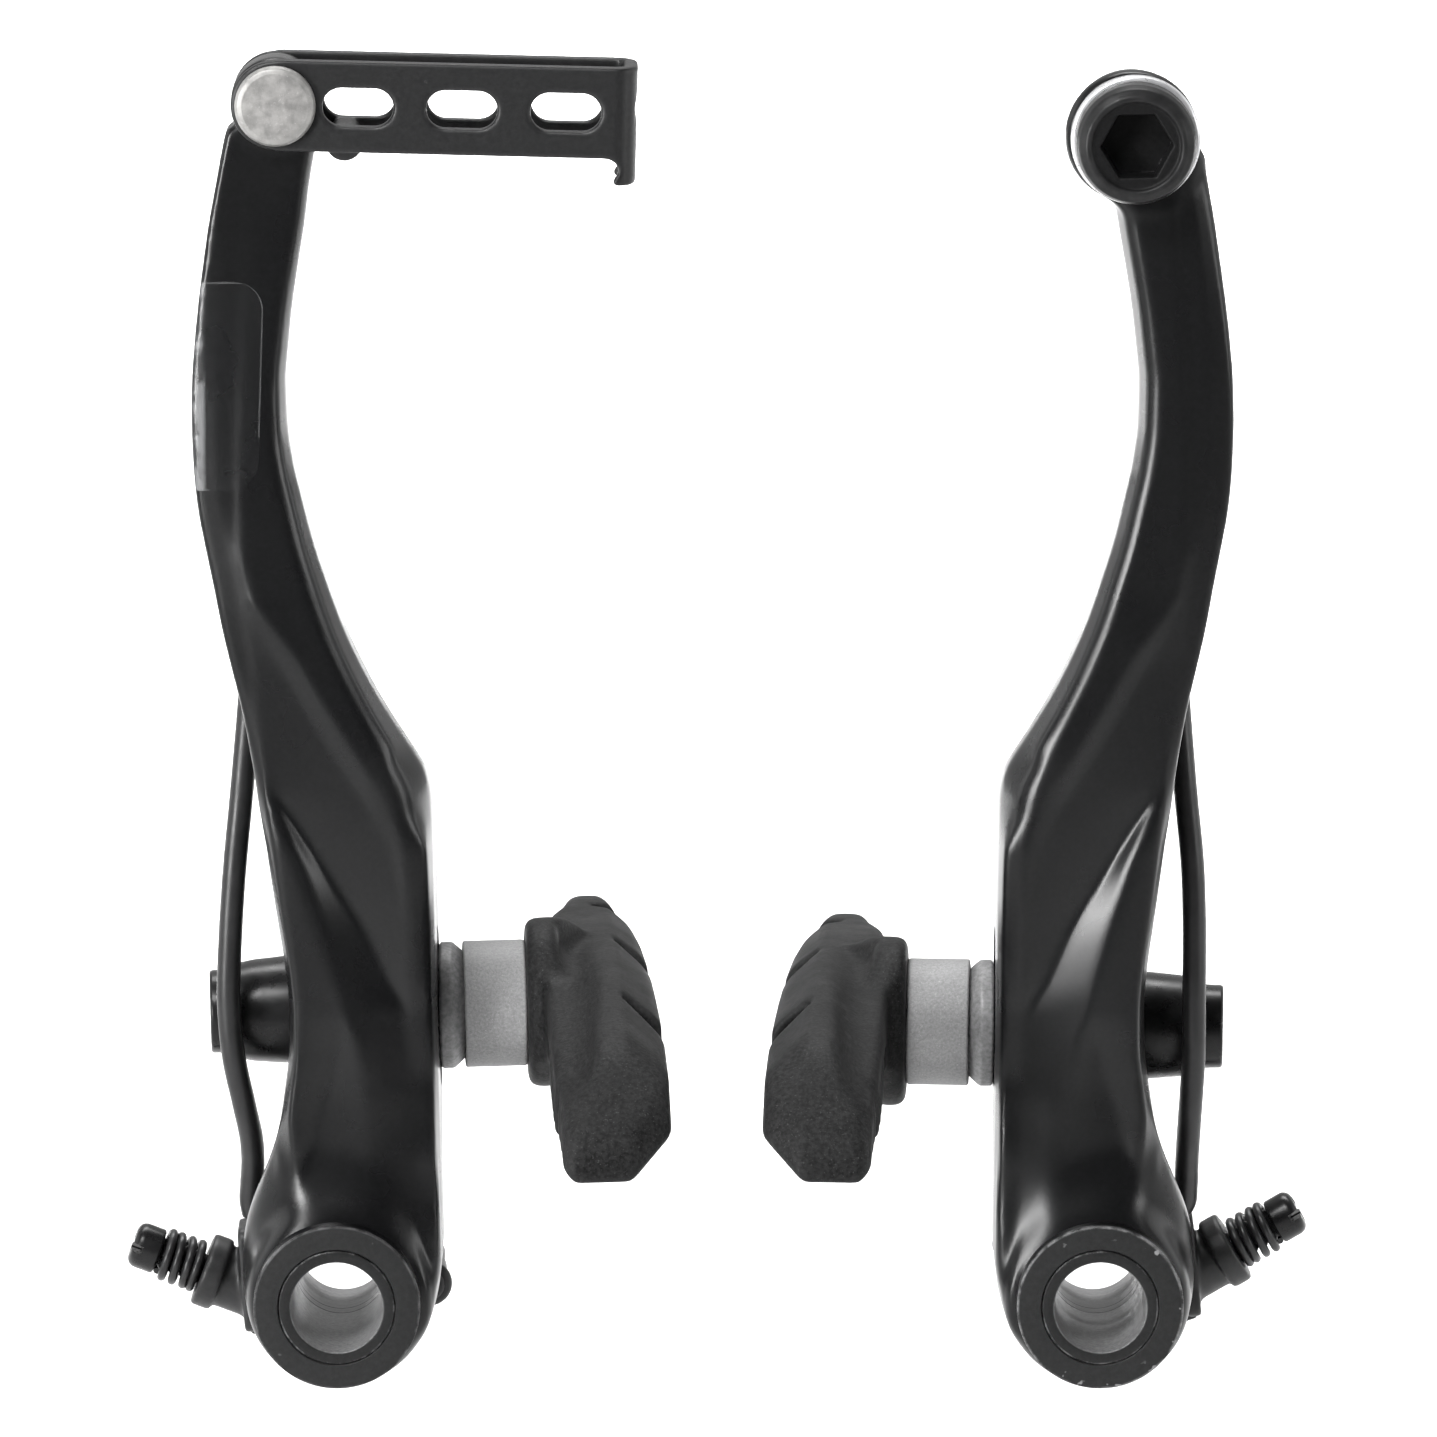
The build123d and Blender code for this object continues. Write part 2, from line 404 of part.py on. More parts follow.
def pad():
    """Moulded shoe: block curved to the rim, with a round shoulder for the washer and slanting water grooves."""
    face = make_face(Polyline(*[Vector(x, 0, z) for x, z in PAD_SECTION], close=True))
    arc = Axis((0, 0, -RIM_R), (1, 0, 0))
    reach = math.degrees((PAD_FRONT + 3) / RIM_R), math.degrees((PAD_BACK + 3) / RIM_R)
    block = Part() + revolve(face, arc, reach[0]) + revolve(face, arc, -reach[1])
    block = block & extrude(make_face(Polyline(*PAD_PLAN, close=True)), 30, both=True)
    nose = make_face(Polyline(*[Vector(0, y, z - y * y / (2 * RIM_R)) for y, z in PAD_NOSE], close=True))
    block -= Pos(15, 0, 0) * extrude(nose, 20, dir=(1, 0, 0))
    p = Pos(0, STUD_Y, STUD_Z) * block
    p += chamfer(xcyl(CUP_FAR, 20.4, 7.5).edges().group_by(Axis.X)[0], 0.6)
    for off in (-19.0, 1.5, 18.5):
        wedge = make_face(Polyline((25.6, off + 1.9), (29.0, off - 0.9), (29.0, off - 2.5), close=True))
        p -= Pos(0, STUD_Y, STUD_Z) * extrude(wedge, 15, both=True)
    p -= xcyl(10, 20.5, 3.0) + xcyl(20.5, 22.6, 4.0)
    return one(p)


# -------------------------------------------------------------- cable link
def link():
    t, g, h = LINK_T, LINK_GAP / 2, LINK_H
    outer = make_face(Polyline((-6, -g - t), (LINK_LEN, -g - t), (LINK_LEN, g + t), (-6, g + t), close=True))
    outer = fillet(outer.vertices().group_by(Axis.X)[-1], 2.0)
    inner = make_face(Polyline((-8, -g), (LINK_LEN - t, -g), (LINK_LEN - t, g), (-8, g), close=True))
    inner = fillet(inner.vertices().group_by(Axis.X)[-1], 0.75)
    strip = extrude(outer - inner, 12, both=True)
    end = LINK_LEN
    curl = Spline((end - 2.7, -h), (end - 1.75, -h - 0.3), (end - 1.35, -h - 0.95), (end - 1.6, -h - 1.6), (end - 1.75, -h - 2.0), tangents=[(1, 0), (-0.5, -1)])
    lip = Polyline((end - 1.75, -h - 2.0), (end - 1.55, -h - 2.3), (end + 1, -h - 2.3), (end + 1, h - 0.9), (end - 0.4, h - 0.2), (end - 1.0, h), (0, h), (0, -h), (end - 2.7, -h))
    side = make_face(curl + lip)
    side += Circle(LINK_END_R)
    side = Plane.XZ * extrude(side, 10, both=True)
    p = strip & side
    p += Pos(6.0, 0, -3.3) * Rot(90, 0, 0) * Cylinder(1.6, 2 * g + 0.4)
    for x in (7.14, 16.14, 25.14):
        slot = SlotOverall(6.15, 3.3)
        p -= Pos(x, 0, 0) * (Plane.XZ * extrude(slot, 10, both=True))
    p -= Pos(LINK_LEN, 0, 0) * Rot(0, 90, 0) * Cylinder(1.95, 8)
    p -= Pos(LINK_LEN, 0, -5) * Box(8, 2.2, 10)
    p -= Rot(90, 0, 0) * Cylinder(2.32, 20)
    return one(Part() + p)


def link_pin():
    g = LINK_GAP / 2 + LINK_T
    p = Rot(90, 0, 0) * Cylinder(2.3, 2 * g)
    for s in (-1, 1):
        head = make_face(Polyline((0, g), (3.5, g), (3.5, g + 0.45), (3.1, g + 0.85), (1.6, g + 1.0), (0, g + 1.02), close=True))
        head = revolve(head, Axis.Y)
        p += head if s > 0 else mirror(head, about=Plane.XZ)
    return one(Part() + p)


# -------------------------------------------------------------- cable clamp
def cable_washer():
    p = ycyl(EYE_R[0], EYE_R[1], 5.6, CLAMP_Y - CABLE_WASHER_T, CLAMP_Y)
    p = chamfer(p.edges().group_by(Axis.Y)[0], 0.25)
    p -= ycyl(EYE_R[0], EYE_R[1], 3.1, -40, 0)
    p -= Pos(EYE_R[0], CLAMP_Y, EYE_R[1] + 3.9) * Box(14, 1.0, 1.7)
    return one(Part() + p)


def cable_bolt():
    """Low round head with a shallow dished face and a hex socket."""
    y0 = CLAMP_Y - CABLE_WASHER_T
    y1 = y0 - BOLT_HEAD
    prof = make_face(Polyline((0, y1 + 0.3), (3.75, y1 + 0.3), (3.95, y1), (4.25, y1), (4.9, y1 + 0.45), (5.22, y1 + 1.2), (5.22, y0), (2.95, y0), (2.95, -12.6), (0, -12.6), close=True))
    p = Pos(EYE_R[0], 0, EYE_R[1]) * revolve(prof, Axis.Y)
    p -= Pos(EYE_R[0], y1, EYE_R[1]) * Rot(90, 0, 0) * Rot(0, 0, 2) * extrude(RegularPolygon(2.72, 6, major_radius=False), 3.0, both=True)
    return one(Part() + p)


# ---------------------------------------------------------------- placement
def place(shape, side, part_of):
    """From local coordinates to the row frame; the right side is the mirror image of the left."""
    lean = {"arm": TILT_L if side == "left" else -TILT_R, "holder": HOLDER_TURN[side], "frame": 0.0}[part_of]
    shape = Rot(0, lean, 0) * shape
    if side == "left":
        return Pos(-PIVOT_HALF, 0, 0) * shape
    return Pos(PIVOT_HALF, 0, 0) * mirror(shape, about=Plane.YZ)


def write(name, shape):
    export_step(shape, f"parts/{name}.step")


def toe(shape):
    """Turns the shoe a little about the washers' centre, leading end towards the rim."""
    return Pos(SPHERE_X, STUD_Y, 0) * Rot(0, 0, PAD_TOE) * Pos(-SPHERE_X, -STUD_Y, 0) * shape


SHOE_GROUP = ("inner_dome_washer", "outer_dome_washer", "inner_cup_washer", "outer_cup_washer", "shoe_stud", "shoe_nut", "brake_shoe")


def main():
    os.makedirs("parts", exist_ok=True)
    made = {
        "bush": (bush(), "frame"), "rear_collar": (rear_collar(), "frame"),
        "tension_screw": (tension_screw(), "holder"), "screw_spring": (screw_spring(), "holder"),
        "spring_hook": (spring_hook(), "arm"),
        "inner_dome_washer": (dome_washer(True), "arm"), "outer_dome_washer": (dome_washer(False), "arm"),
        "inner_cup_washer": (toe(cup_washer(True)), "arm"), "outer_cup_washer": (toe(cup_washer(False)), "arm"),
        "shoe_stud": (toe(stud()), "arm"), "shoe_nut": (toe(nut()), "arm"), "brake_shoe": (pad(), "arm"),
    }
    for side in ("left", "right"):
        write(f"{side}_arm", place(arm(side == "left"), side, "arm"))
        line = spring_line(side)
        write(f"{side}_return_spring", place(return_spring(line), side, "frame"))
        write(f"{side}_spring_sleeve", place(spring_sleeve(line), side, "frame"))
        write(f"{side}_spring_holder", place(spring_holder(STOP[side]), side, "holder"))
        write(f"{side}_stop_pin", place(stop_pin(STOP[side]), side, "holder"))
        for name, (shape, part_of) in made.items():
            if name == "brake_shoe":
                about = Pos(0, STUD_Y, STUD_Z)
                shape = toe(about * Rot(SHOE_TURN[side], 0, 0) * about.inverse() * shape)
            if name in SHOE_GROUP:
                shape = Pos(0, 0, -SHOE_DROP[side]) * shape
            write(f"{side}_{name}", place(shape, side, part_of))
    c, s = math.cos(math.radians(TILT_L)), math.sin(math.radians(TILT_L))
    ex, ez = EYE_L[0] * c + EYE_L[1] * s - PIVOT_HALF, -EYE_L[0] * s + EYE_L[1] * c
    at = Pos(ex, EYE_Y, ez) * Rot(0, LINK_ANGLE, 0)
    write("cable_link", at * link())
    write("link_pin", at * link_pin())
    write("cable_washer", place(cable_washer(), "right", "arm"))
    write("cable_bolt", place(cable_bolt(), "right", "arm"))
    print("link pivot at", round(ex, 3), EYE_Y, round(ez, 3))


main()
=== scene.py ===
import json
import math

import bmesh
import bpy
import numpy as np
from mathutils import Euler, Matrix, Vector


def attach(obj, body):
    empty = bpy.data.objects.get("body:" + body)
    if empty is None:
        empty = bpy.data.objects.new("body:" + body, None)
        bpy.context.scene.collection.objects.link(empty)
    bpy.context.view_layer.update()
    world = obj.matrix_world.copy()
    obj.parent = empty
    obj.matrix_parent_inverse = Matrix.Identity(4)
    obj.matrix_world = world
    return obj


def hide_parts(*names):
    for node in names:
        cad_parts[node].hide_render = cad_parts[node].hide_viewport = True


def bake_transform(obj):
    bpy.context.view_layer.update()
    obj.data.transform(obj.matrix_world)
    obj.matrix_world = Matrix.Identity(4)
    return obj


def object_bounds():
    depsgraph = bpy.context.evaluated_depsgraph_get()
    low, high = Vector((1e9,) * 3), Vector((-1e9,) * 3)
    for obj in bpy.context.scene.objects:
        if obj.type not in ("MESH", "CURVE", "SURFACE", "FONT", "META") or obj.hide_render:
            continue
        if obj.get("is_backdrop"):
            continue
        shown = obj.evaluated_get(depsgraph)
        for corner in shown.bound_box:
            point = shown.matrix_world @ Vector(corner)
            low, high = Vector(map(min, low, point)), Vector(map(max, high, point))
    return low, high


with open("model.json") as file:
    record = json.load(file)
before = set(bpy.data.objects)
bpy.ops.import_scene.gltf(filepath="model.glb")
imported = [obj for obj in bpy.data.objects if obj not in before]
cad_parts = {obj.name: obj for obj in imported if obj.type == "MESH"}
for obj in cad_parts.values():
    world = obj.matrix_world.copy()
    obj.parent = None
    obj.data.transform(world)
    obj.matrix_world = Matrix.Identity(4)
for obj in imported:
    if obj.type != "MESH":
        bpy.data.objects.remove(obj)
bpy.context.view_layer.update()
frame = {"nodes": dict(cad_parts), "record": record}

NODES = frame["nodes"]
MM = 0.001

# ------------------------------------------------------------------ dimensions (mm), as in the construction
PIVOT_HALF = 33.5
TURN = {"left": math.radians(-4.0), "right": math.radians(5.5)}     # rest turn of the spring holders
LEAN = {"left": math.radians(-1.2), "right": math.radians(-0.45)}   # rest lean of the arms, each in its own mirror half
STOP = {"left": (7.55, -2.6), "right": (6.9, 2.2)}
STUD_Y, STUD_Z = -8.0, 23.5
SPHERE_X, SPHERE_R = 6.3, 7.0
WASHER_R, CUP_RIM = 5.6, 5.15
FACE_X, WEB_X = 9.3, 3.3
CUP_FAR, NUT_IN, NUT_OUT = 16.95, -1.95, -11.0
EYE_L, EYE_L_R = (-2.62, 106.1), 3.95
EYE_R, EYE_R_R, EYE_R_REAR, EYE_R_OFF = (-1.75, 103.25), 6.05, 5.0, 0.25
EYE_Y, CLAMP_Y = -17.0, -20.9
CABLE_WASHER_T, BOLT_HEAD = 1.3, 3.5
BOSS_R, RING_R, ARM_BORE_R, BUSH_R, BORE_R = 8.2, 7.32, 5.16, 5.1, 4.03
Y_FRONT, BOSS_REAR, Y_BUSH_REAR, Y_HUB_REAR = -24.0, -9.3, -9.1, -5.2
SLOT_HALF_W, SLOT_HALF_L = 3.4, 3.8
FLARE_R, FLARE_Y, FLARE_X, FLARE_W = 8.3, -22.1, 1.2, 2.2
PAD_FRONT, PAD_BACK, RIM_R, PAD_TOE = 40.0, 27.0, 290.0, math.radians(2.4)
LINK_ANGLE, LINK_LEN, LINK_H, LINK_END_R, LINK_T, LINK_GAP = math.radians(1.4), 31.3, 4.0, 3.9, 1.25, 4.4
SCREW_P = np.array([-9.0, -6.0, -1.44])
SCREW_U = np.array([-math.cos(math.radians(25)), 0.0, math.sin(math.radians(25))])
SCREW_R = 1.48
HOOK_X, HOOK_Z = -7.6, 62.5
SLEEVE_Z = (4.8, 57.0)

PAD_SECTION = [(19.8, 5.0), (24.8, 5.0), (28.3, 2.2), (28.3, -1.6), (24.6, -4.6), (19.9, -4.6), (18.6, -3.4), (18.6, 3.8)]   # x and height, across the block
PAD_PLAN = [(15, -30), (18.6, -30), (18.5, -PAD_FRONT + 1), (19.3, -PAD_FRONT), (25.2, -PAD_FRONT), (28.3, -PAD_FRONT + 3.6), (28.3, -20), (27.8, 0), (27.4, 16), (26.6, 24), (24.0, PAD_BACK),
            (21.0, PAD_BACK), (19.2, 23), (18.6, 18), (15, 18)]   # x and depth, along the block
PAD_NOSE = [(-PAD_FRONT - 2, -1.0), (-PAD_FRONT + 0.6, -1.0), (-PAD_FRONT + 9.5, 5.4), (-PAD_FRONT + 9.5, 9), (-PAD_FRONT - 2, 9)]   # depth and height, slope cut from the leading end
SHOE_DROP = {"left": 0.0, "right": 1.5}     # how far down its slot each shoe is clamped
SHOE_TURN = {"left": 0.5, "right": -1.8}    # how far each block is turned about its stud (deg)

SPRING_L = [(-6.5, -7.6, -4.4), (-6.52, -7.7, 1.0), (-6.64, -7.85, 2.7), (-7.65, -8.4, 4.5), (-7.95, -9.2, 6.3), (-7.85, -10.1, 8.1), (-7.7, -11.2, 10.1), (-7.75, -12.4, 12.4), (-8.35, -13.8, 16.0),
            (-9.2, -14.75, 20.5), (-9.6, -14.9, 25.5), (-9.45, -14.7, 31), (-9.1, -14.3, 36.5), (-8.35, -13.3, 44.5), (-7.55, -11.9, 54), (-6.95, -11.6, 65.5)]
SPRING_R = [(-6.5, -7.6, -4.4), (-6.52, -7.7, 1.0), (-6.7, -8.0, 3.6), (-7.75, -8.8, 5.8), (-7.95, -9.8, 7.8), (-7.95, -11.0, 9.9), (-8.0, -12.4, 12.4), (-8.15, -13.8, 16.0),
            (-8.35, -14.75, 20.5), (-8.35, -14.9, 26), (-8.35, -14.6, 32), (-8.2, -14.2, 37), (-7.5, -13.3, 44.5), (-6.75, -11.9, 54), (-6.05, -11.6, 65.5)]


def turned(x, z, a):
    return x * math.cos(a) + z * math.sin(a), z * math.cos(a) - x * math.sin(a)


def row(p, side, part="arm"):
    """Local coordinates (mm, arrays of xyz) to the row frame in metres."""
    p = np.asarray(p, float).reshape(-1, 3)
    a = {"arm": LEAN[side], "holder": TURN[side], "frame": 0.0}[part]
    x, z = turned(p[:, 0], p[:, 2], a)
    x = x - PIVOT_HALF if side == "left" else PIVOT_HALF - x
    return np.stack([x, p[:, 1], z], 1) * MM


def toe(p):
    """Turns shoe points about the washers' centre, leading end towards the rim."""
    p = np.asarray(p, float).reshape(-1, 3)
    c, s = math.cos(PAD_TOE), math.sin(PAD_TOE)
    x, y = p[:, 0] - SPHERE_X, p[:, 1] - STUD_Y
    return np.stack([SPHERE_X + x * c - y * s, STUD_Y + x * s + y * c, p[:, 2]], 1)


_ex, _ez = turned(EYE_L[0], EYE_L[1], LEAN["left"])
LINK_PIVOT = np.array([_ex - PIVOT_HALF, EYE_Y, _ez])


def link_row(p):
    p = np.asarray(p, float).reshape(-1, 3)
    x, z = turned(p[:, 0], p[:, 2], LINK_ANGLE)
    return (np.stack([x, p[:, 1], z], 1) + LINK_PIVOT) * MM


# ------------------------------------------------------------------ camera
CAM_D, CAM_EL = 1200.0, math.radians(11.2)
TARGET = Vector((0.0, -14.0, 50.736)) * MM
cam_data = bpy.data.cameras.new("camera")
cam_data.sensor_width = 36.0
cam_data.sensor_fit = "HORIZONTAL"
cam_data.lens = 11.4 * CAM_D / 1437.0 * 36.0
cam_data.clip_end = 20.0
cam = bpy.data.objects.new("camera", cam_data)
cam.location = TARGET + Vector((0, -math.cos(CAM_EL), math.sin(CAM_EL))) * (CAM_D * MM)
cam.rotation_euler = Euler((math.pi / 2 - CAM_EL, 0, 0))
bpy.context.scene.collection.objects.link(cam)
bpy.context.scene.camera = cam


# ------------------------------------------------------------------ arm form
def curve(table, z):
    """Monotone cubic through (z, value) pairs, for an array of z."""
    t = np.asarray(table, float)
    zs, vs = t[:, 0], t[:, 1]
    h = np.diff(zs)
    d = np.diff(vs) / h
    m = np.zeros(len(zs))
    m[0], m[-1] = d[0], d[-1]
    for i in range(1, len(zs) - 1):
        if d[i - 1] * d[i] > 0:
            w1, w2 = 2 * h[i] + h[i - 1], h[i] + 2 * h[i - 1]
            m[i] = (w1 + w2) / (w1 / d[i - 1] + w2 / d[i])
    z = np.clip(np.asarray(z, float), zs[0], zs[-1])
    i = np.clip(np.searchsorted(zs, z, side="right") - 1, 0, len(zs) - 2)
    u = (z - zs[i]) / h[i]
    return ((2 * u**3 - 3 * u**2 + 1) * vs[i] + (u**3 - 2 * u**2 + u) * h[i] * m[i]
            + (-2 * u**3 + 3 * u**2) * vs[i + 1] + (u**3 - u**2) * h[i] * m[i + 1])


XO = [(-6, -6.2), (-4, -7.5), (-1, -8.2), (2, -8.45), (4.5, -8.4), (7.2, -7.92), (10.2, -6.65), (11.7, -5.98), (15.3, -4.82),
      (18.9, -4.2), (22.5, -3.73), (26, -3.66), (29.7, -3.93), (33.3, -4.4), (37, -4.88), (40.5, -5.3), (44, -5.78),
      (47.6, -6.2), (53, -7.06), (56.5, -7.82), (60, -8.55), (63.7, -9.17), (67.2, -9.8), (70.8, -10.38),
      (74.3, -10.65), (78, -10.73), (81.4, -10.63), (85, -10.32), (88.4, -9.91), (92, -9.38), (95.5, -8.84),
      (99, -8.2), (102.5, -7.6), (105, -7.0)]
XI = [(-6, 5.6), (-4, 7.2), (-1, 8.5), (1, 9.0), (4, 9.3), (8, 9.3), (44.6, 9.3), (46.2, 8.95), (47.6, 8.2), (49.4, 7.1),
      (53, 5.0), (56.5, 3.28), (60, 1.85), (63.7, 0.63), (67.2, -0.4), (70.8, -1.22), (74.3, -1.95), (78, -2.37),
      (81.4, -2.42), (85, -2.08), (88.4, -1.65), (92, -1.03), (95.5, -0.4), (99, 0.11), (102.5, 0.8), (105, 1.3)]
YP = [(-6, -16.0), (4, -16.6), (10, -17.6), (17, -18.6), (30, -18.9), (40, -18.9), (46, -19.3), (52, -19.9), (58, -20.1), (92, -20.05), (105, -19.7)]
B1 = [(-6, 5.2), (4, 6.5), (7, 5.7), (10, 3.8), (13, 2.0), (17, 0.75), (30, 0.58), (45, 0.7), (52, 1.0), (58, 1.6), (66, 2.1), (80, 2.25), (92, 1.9), (105, 1.5)]
Y1 = [(-6, -21.8), (4, -21.7), (8, -21.3), (11, -21.0), (14, -20.95), (26, -21.0), (40, -21.0), (47, -20.55), (56, -20.6), (66, -20.9), (92, -20.75), (105, -20.4)]
# soft hollow between the outer bar and the lobe that runs up from the boss
XC = [(-6, -3.0), (4, -3.4), (7.2, -3.6), (10, -2.9), (13, -2.04), (17.1, -1.05), (20.4, -0.1), (23.1, 0.7), (25, 0.95), (28.6, -0.3), (37.4, -2.7), (43.4, -4.5), (47, -5.6), (64, -7.6), (105, -5.6)]
YC = [(-6, -22.0), (5, -21.8), (8, -21.3), (10, -20.85), (12, -20.5), (14, -20.3), (18, -20.2), (22, -20.5), (26, -21.2), (40, -21.3), (47, -20.6), (56, -20.65), (66, -21.0), (92, -20.8), (105, -20.5)]
# crest of that bar, and the foot of its step down to the hollow panel
X2 = [(-6, 5.0), (4, 5.9), (7.9, 5.6), (11, 4.9), (14.4, 4.2), (18.3, 3.4), (22.9, 2.15), (25.9, 1.15), (28.6, 0.54), (32.5, -0.5), (37.4, -2.0), (40.4, -2.8), (43.4, -4.0), (46.5, -5.4), (50, -5.9), (64, -7.3), (105, -5.3)]
Y2 = [(-6, -22.0), (5, -21.85), (9, -21.4), (12, -21.1), (16, -21.05), (20, -21.1), (26, -21.3), (40, -21.25), (44, -20.95), (47, -20.65), (56, -20.7), (66, -21.05), (92, -20.85), (105, -20.55)]
X3 = [(-6, 5.3), (4, 6.2), (7.9, 6.1), (11, 5.4), (14.4, 4.65), (18.3, 3.95), (22.9, 2.7), (25.9, 1.7), (28.6, 1.1), (32.5, 0.05), (37.4, -1.45), (40.4, -2.3), (43.4, -3.6), (46.5, -5.2), (50, -5.7), (64, -7.1), (105, -5.1)]
Y3 = [(-6, -22.0), (5, -21.8), (9, -21.3), (12, -20.98), (16, -20.9), (20, -20.9), (26, -21.12), (38, -21.1), (42, -20.9), (46, -20.7), (56, -20.75), (66, -21.1), (92, -20.9), (105, -20.6)]
# foot of the sloping panel, and the ridge above it
XQ = [(-6, 5.6), (4, 6.6), (7.9, 6.5), (11, 5.7), (14.4, 4.9), (16.5, 5.6), (18, 6.4), (25, 6.9), (28.6, 5.05), (33, 3.1), (37.8, 0.3), (42, -2.2), (46.9, -4.95), (56, -6.0), (64, -6.9), (105, -4.9)]
YQ = [(-6, -22.0), (5, -21.75), (9, -21.2), (12, -20.75), (16, -20.2), (20, -19.75), (25, -19.65), (30, -19.7), (34, -19.75), (38, -19.95), (42, -20.25), (46, -20.58), (56, -20.8), (66, -21.2), (92, -21.0), (105, -20.7)]
X4 = [(-6, 5.8), (4, 6.8), (7.9, 6.7), (11, 5.9), (14.4, 5.1), (16.5, 5.8), (18, 6.8), (25, 7.15), (37, 7.2), (40, 7.0), (43.2, 6.1), (47, 3.9), (52.5, 0.7), (57.5, -2.1), (61.4, -4.9), (63.5, -6.5), (66, -6.9), (105, -4.7)]
Y4 = [(-6, -22.0), (5, -21.7), (9, -21.15), (12, -20.72), (16, -20.18), (20, -19.78), (25, -19.9), (28, -20.3), (33, -20.85), (38, -21.4), (44, -21.85), (50, -22.0), (58, -21.8), (64, -21.4), (92, -21.1), (105, -20.8)]
B5 = [(-6, 3.6), (4, 4.1), (8, 4.1), (11, 4.0), (14.4, 3.9), (16.5, 3.2), (18, 2.2), (25, 1.95), (40, 1.95), (43, 2.4), (46, 2.9), (49, 2.4), (53, 2.0), (60, 1.85), (70, 1.75), (105, 1.5)]
Y5 = [(-6, -21.2), (5, -20.9), (9, -20.45), (12, -20.5), (16, -20.15), (20, -19.75), (25, -19.88), (28, -20.2), (33, -20.7), (38, -21.2), (44, -21.6), (50, -21.75), (58, -21.6), (64, -21.3), (92, -21.0), (105, -20.7)]
Y6 = [(-6, -16.5), (10, -16.8), (17, -17.3), (25, -17.4), (36, -17.9), (46, -16.9), (52, -17.6), (60, -18.2), (105, -17.8)]
# slope between the ridge and the panel below it, and the break in the inner bevel
WB = [(-6, 0.2), (25, 0.2), (30, 0.25), (36, 0.7), (40, 1.3), (46, 1.75), (58, 1.75), (62, 1.2), (66, 0.4), (105, 0.2)]
DB = [(-6, 0.02), (25, 0.02), (33, 0.2), (40, 0.55), (46, 0.8), (56, 0.75), (61, 0.5), (66, 0.1), (105, 0.03)]
BM = [(-6, 0.4), (40, 0.4), (44, 1.6), (47, 1.7), (50, 0.9), (56, 0.75), (105, 0.65)]
DM = [(-6, 0.4), (40, 0.4), (44, 0.6), (47, 0.75), (53, 0.7), (105, 0.62)]
YR = [(-6, -9.5), (9.5, -9.5), (12.5, -6.0), (15.5, -2.2), (36, -1.9), (40, -4.0), (44, -8.0), (48, -12.4), (52, -13.2), (105, -13.2)]
YN = [(-6, -9.5), (3.5, -9.55), (7, -12.9), (11.5, -13.4), (14.5, -15.6), (36, -15.6), (44, -14.2), (52, -13.3), (105, -13.3)]
XW = [(-6, -4.0), (6, -2.0), (10, 2.0), (14, WEB_X), (36, WEB_X), (40, 2.6), (46, 0.0), (56, -3.0), (74, -7.0), (105, -3.0)]
TOP_L = [(62, 0.0), (76, 0.2), (90, 0.72), (100.2, 1.0), (106, 1.0)]   # thinning of the left arm's upper end towards its eye

# the rolled outer edge lies a touch flatter along the middle of the blade
YP = [(z, y - 0.32 if 44 < z < 65 else y) for z, y in YP]

def sections(z, left):
    """Corner points of the arm's cross-section at each z: array (n, corners, 2)."""
    xo, xi = curve(XO, z), curve(XI, z)
    g = 0.18
    xs = [xo + curve(B1, z)]
    x4, y4, y5 = curve(X4, z), curve(Y4, z), curve(Y5, z)
    for x in (curve(XC, z), curve(X2, z), curve(X3, z), curve(XQ, z), x4 - curve(WB, z), x4):
        xs.append(np.maximum(x, xs[-1] + g))
    xs.append(xi - curve(B5, z))
    for i in range(6, 0, -1):
        xs[i] = np.minimum(xs[i], xs[i + 1] - g)
    xs.append(np.maximum(xi - curve(BM, z), xs[-1] + g))
    ys = [curve(table, z) for table in (Y1, YC, Y2, Y3, YQ)] + [y4 + curve(DB, z), y4, y5, y5 + curve(DM, z)]
    yr, yn, yp = curve(YR, z), curve(YN, z), curve(YP, z)
    yn = np.minimum(yn, yr - 0.06)
    xw = np.minimum(np.maximum(curve(XW, z), xo + 1.8), xi - 2.2)
    pts = [(xo, yp)] + list(zip(xs, ys)) + [(xi, curve(Y6, z)), (xi, yr - 1.0), (xi - 1.0, yr), (xw, yr), (xw, yn), (xo + 1.2, yn),
                                            (xo + 0.1, np.maximum(yn - 1.2, yp + 0.4))]
    p = np.stack([np.stack([a, b], 1) for a, b in pts], 1)
    if left:
        k = curve(TOP_L, z)[:, None]
        for side in (-1, 1):
            lim = EYE_Y + side * 2.05
            y = p[:, :, 1]
            p[:, :, 1] = np.where((y - lim) * side > 0, y + k * (lim - y), y)
    return p


# ------------------------------------------------------------------ distance fields
def polygon_distance(pts, X, Y):
    """Signed distance to a closed polygon, negative inside."""
    d2 = np.full(X.shape, 1e9)
    inside = np.zeros(X.shape, bool)
    n = len(pts)
    for i in range(n):
        ax, ay = pts[i]
        bx, by = pts[(i + 1) % n]
        ex, ey = bx - ax, by - ay
        L = ex * ex + ey * ey
        if L < 1e-12:
            continue
        wx, wy = X - ax, Y - ay
        t = np.clip((wx * ex + wy * ey) / L, 0, 1)
        d2 = np.minimum(d2, (wx - t * ex) ** 2 + (wy - t * ey) ** 2)
        if abs(ey) > 1e-12:
            inside ^= ((ay > Y) != (by > Y)) & (X < ex * (Y - ay) / ey + ax)
    d = np.sqrt(d2)
    return np.where(inside, -d, d)


def smin(a, b, k):
    h = np.clip(0.5 + 0.5 * (b - a) / k, 0, 1)
    return b + (a - b) * h - k * h * (1 - h)


def smax(a, b, k):
    return -smin(-a, -b, k)


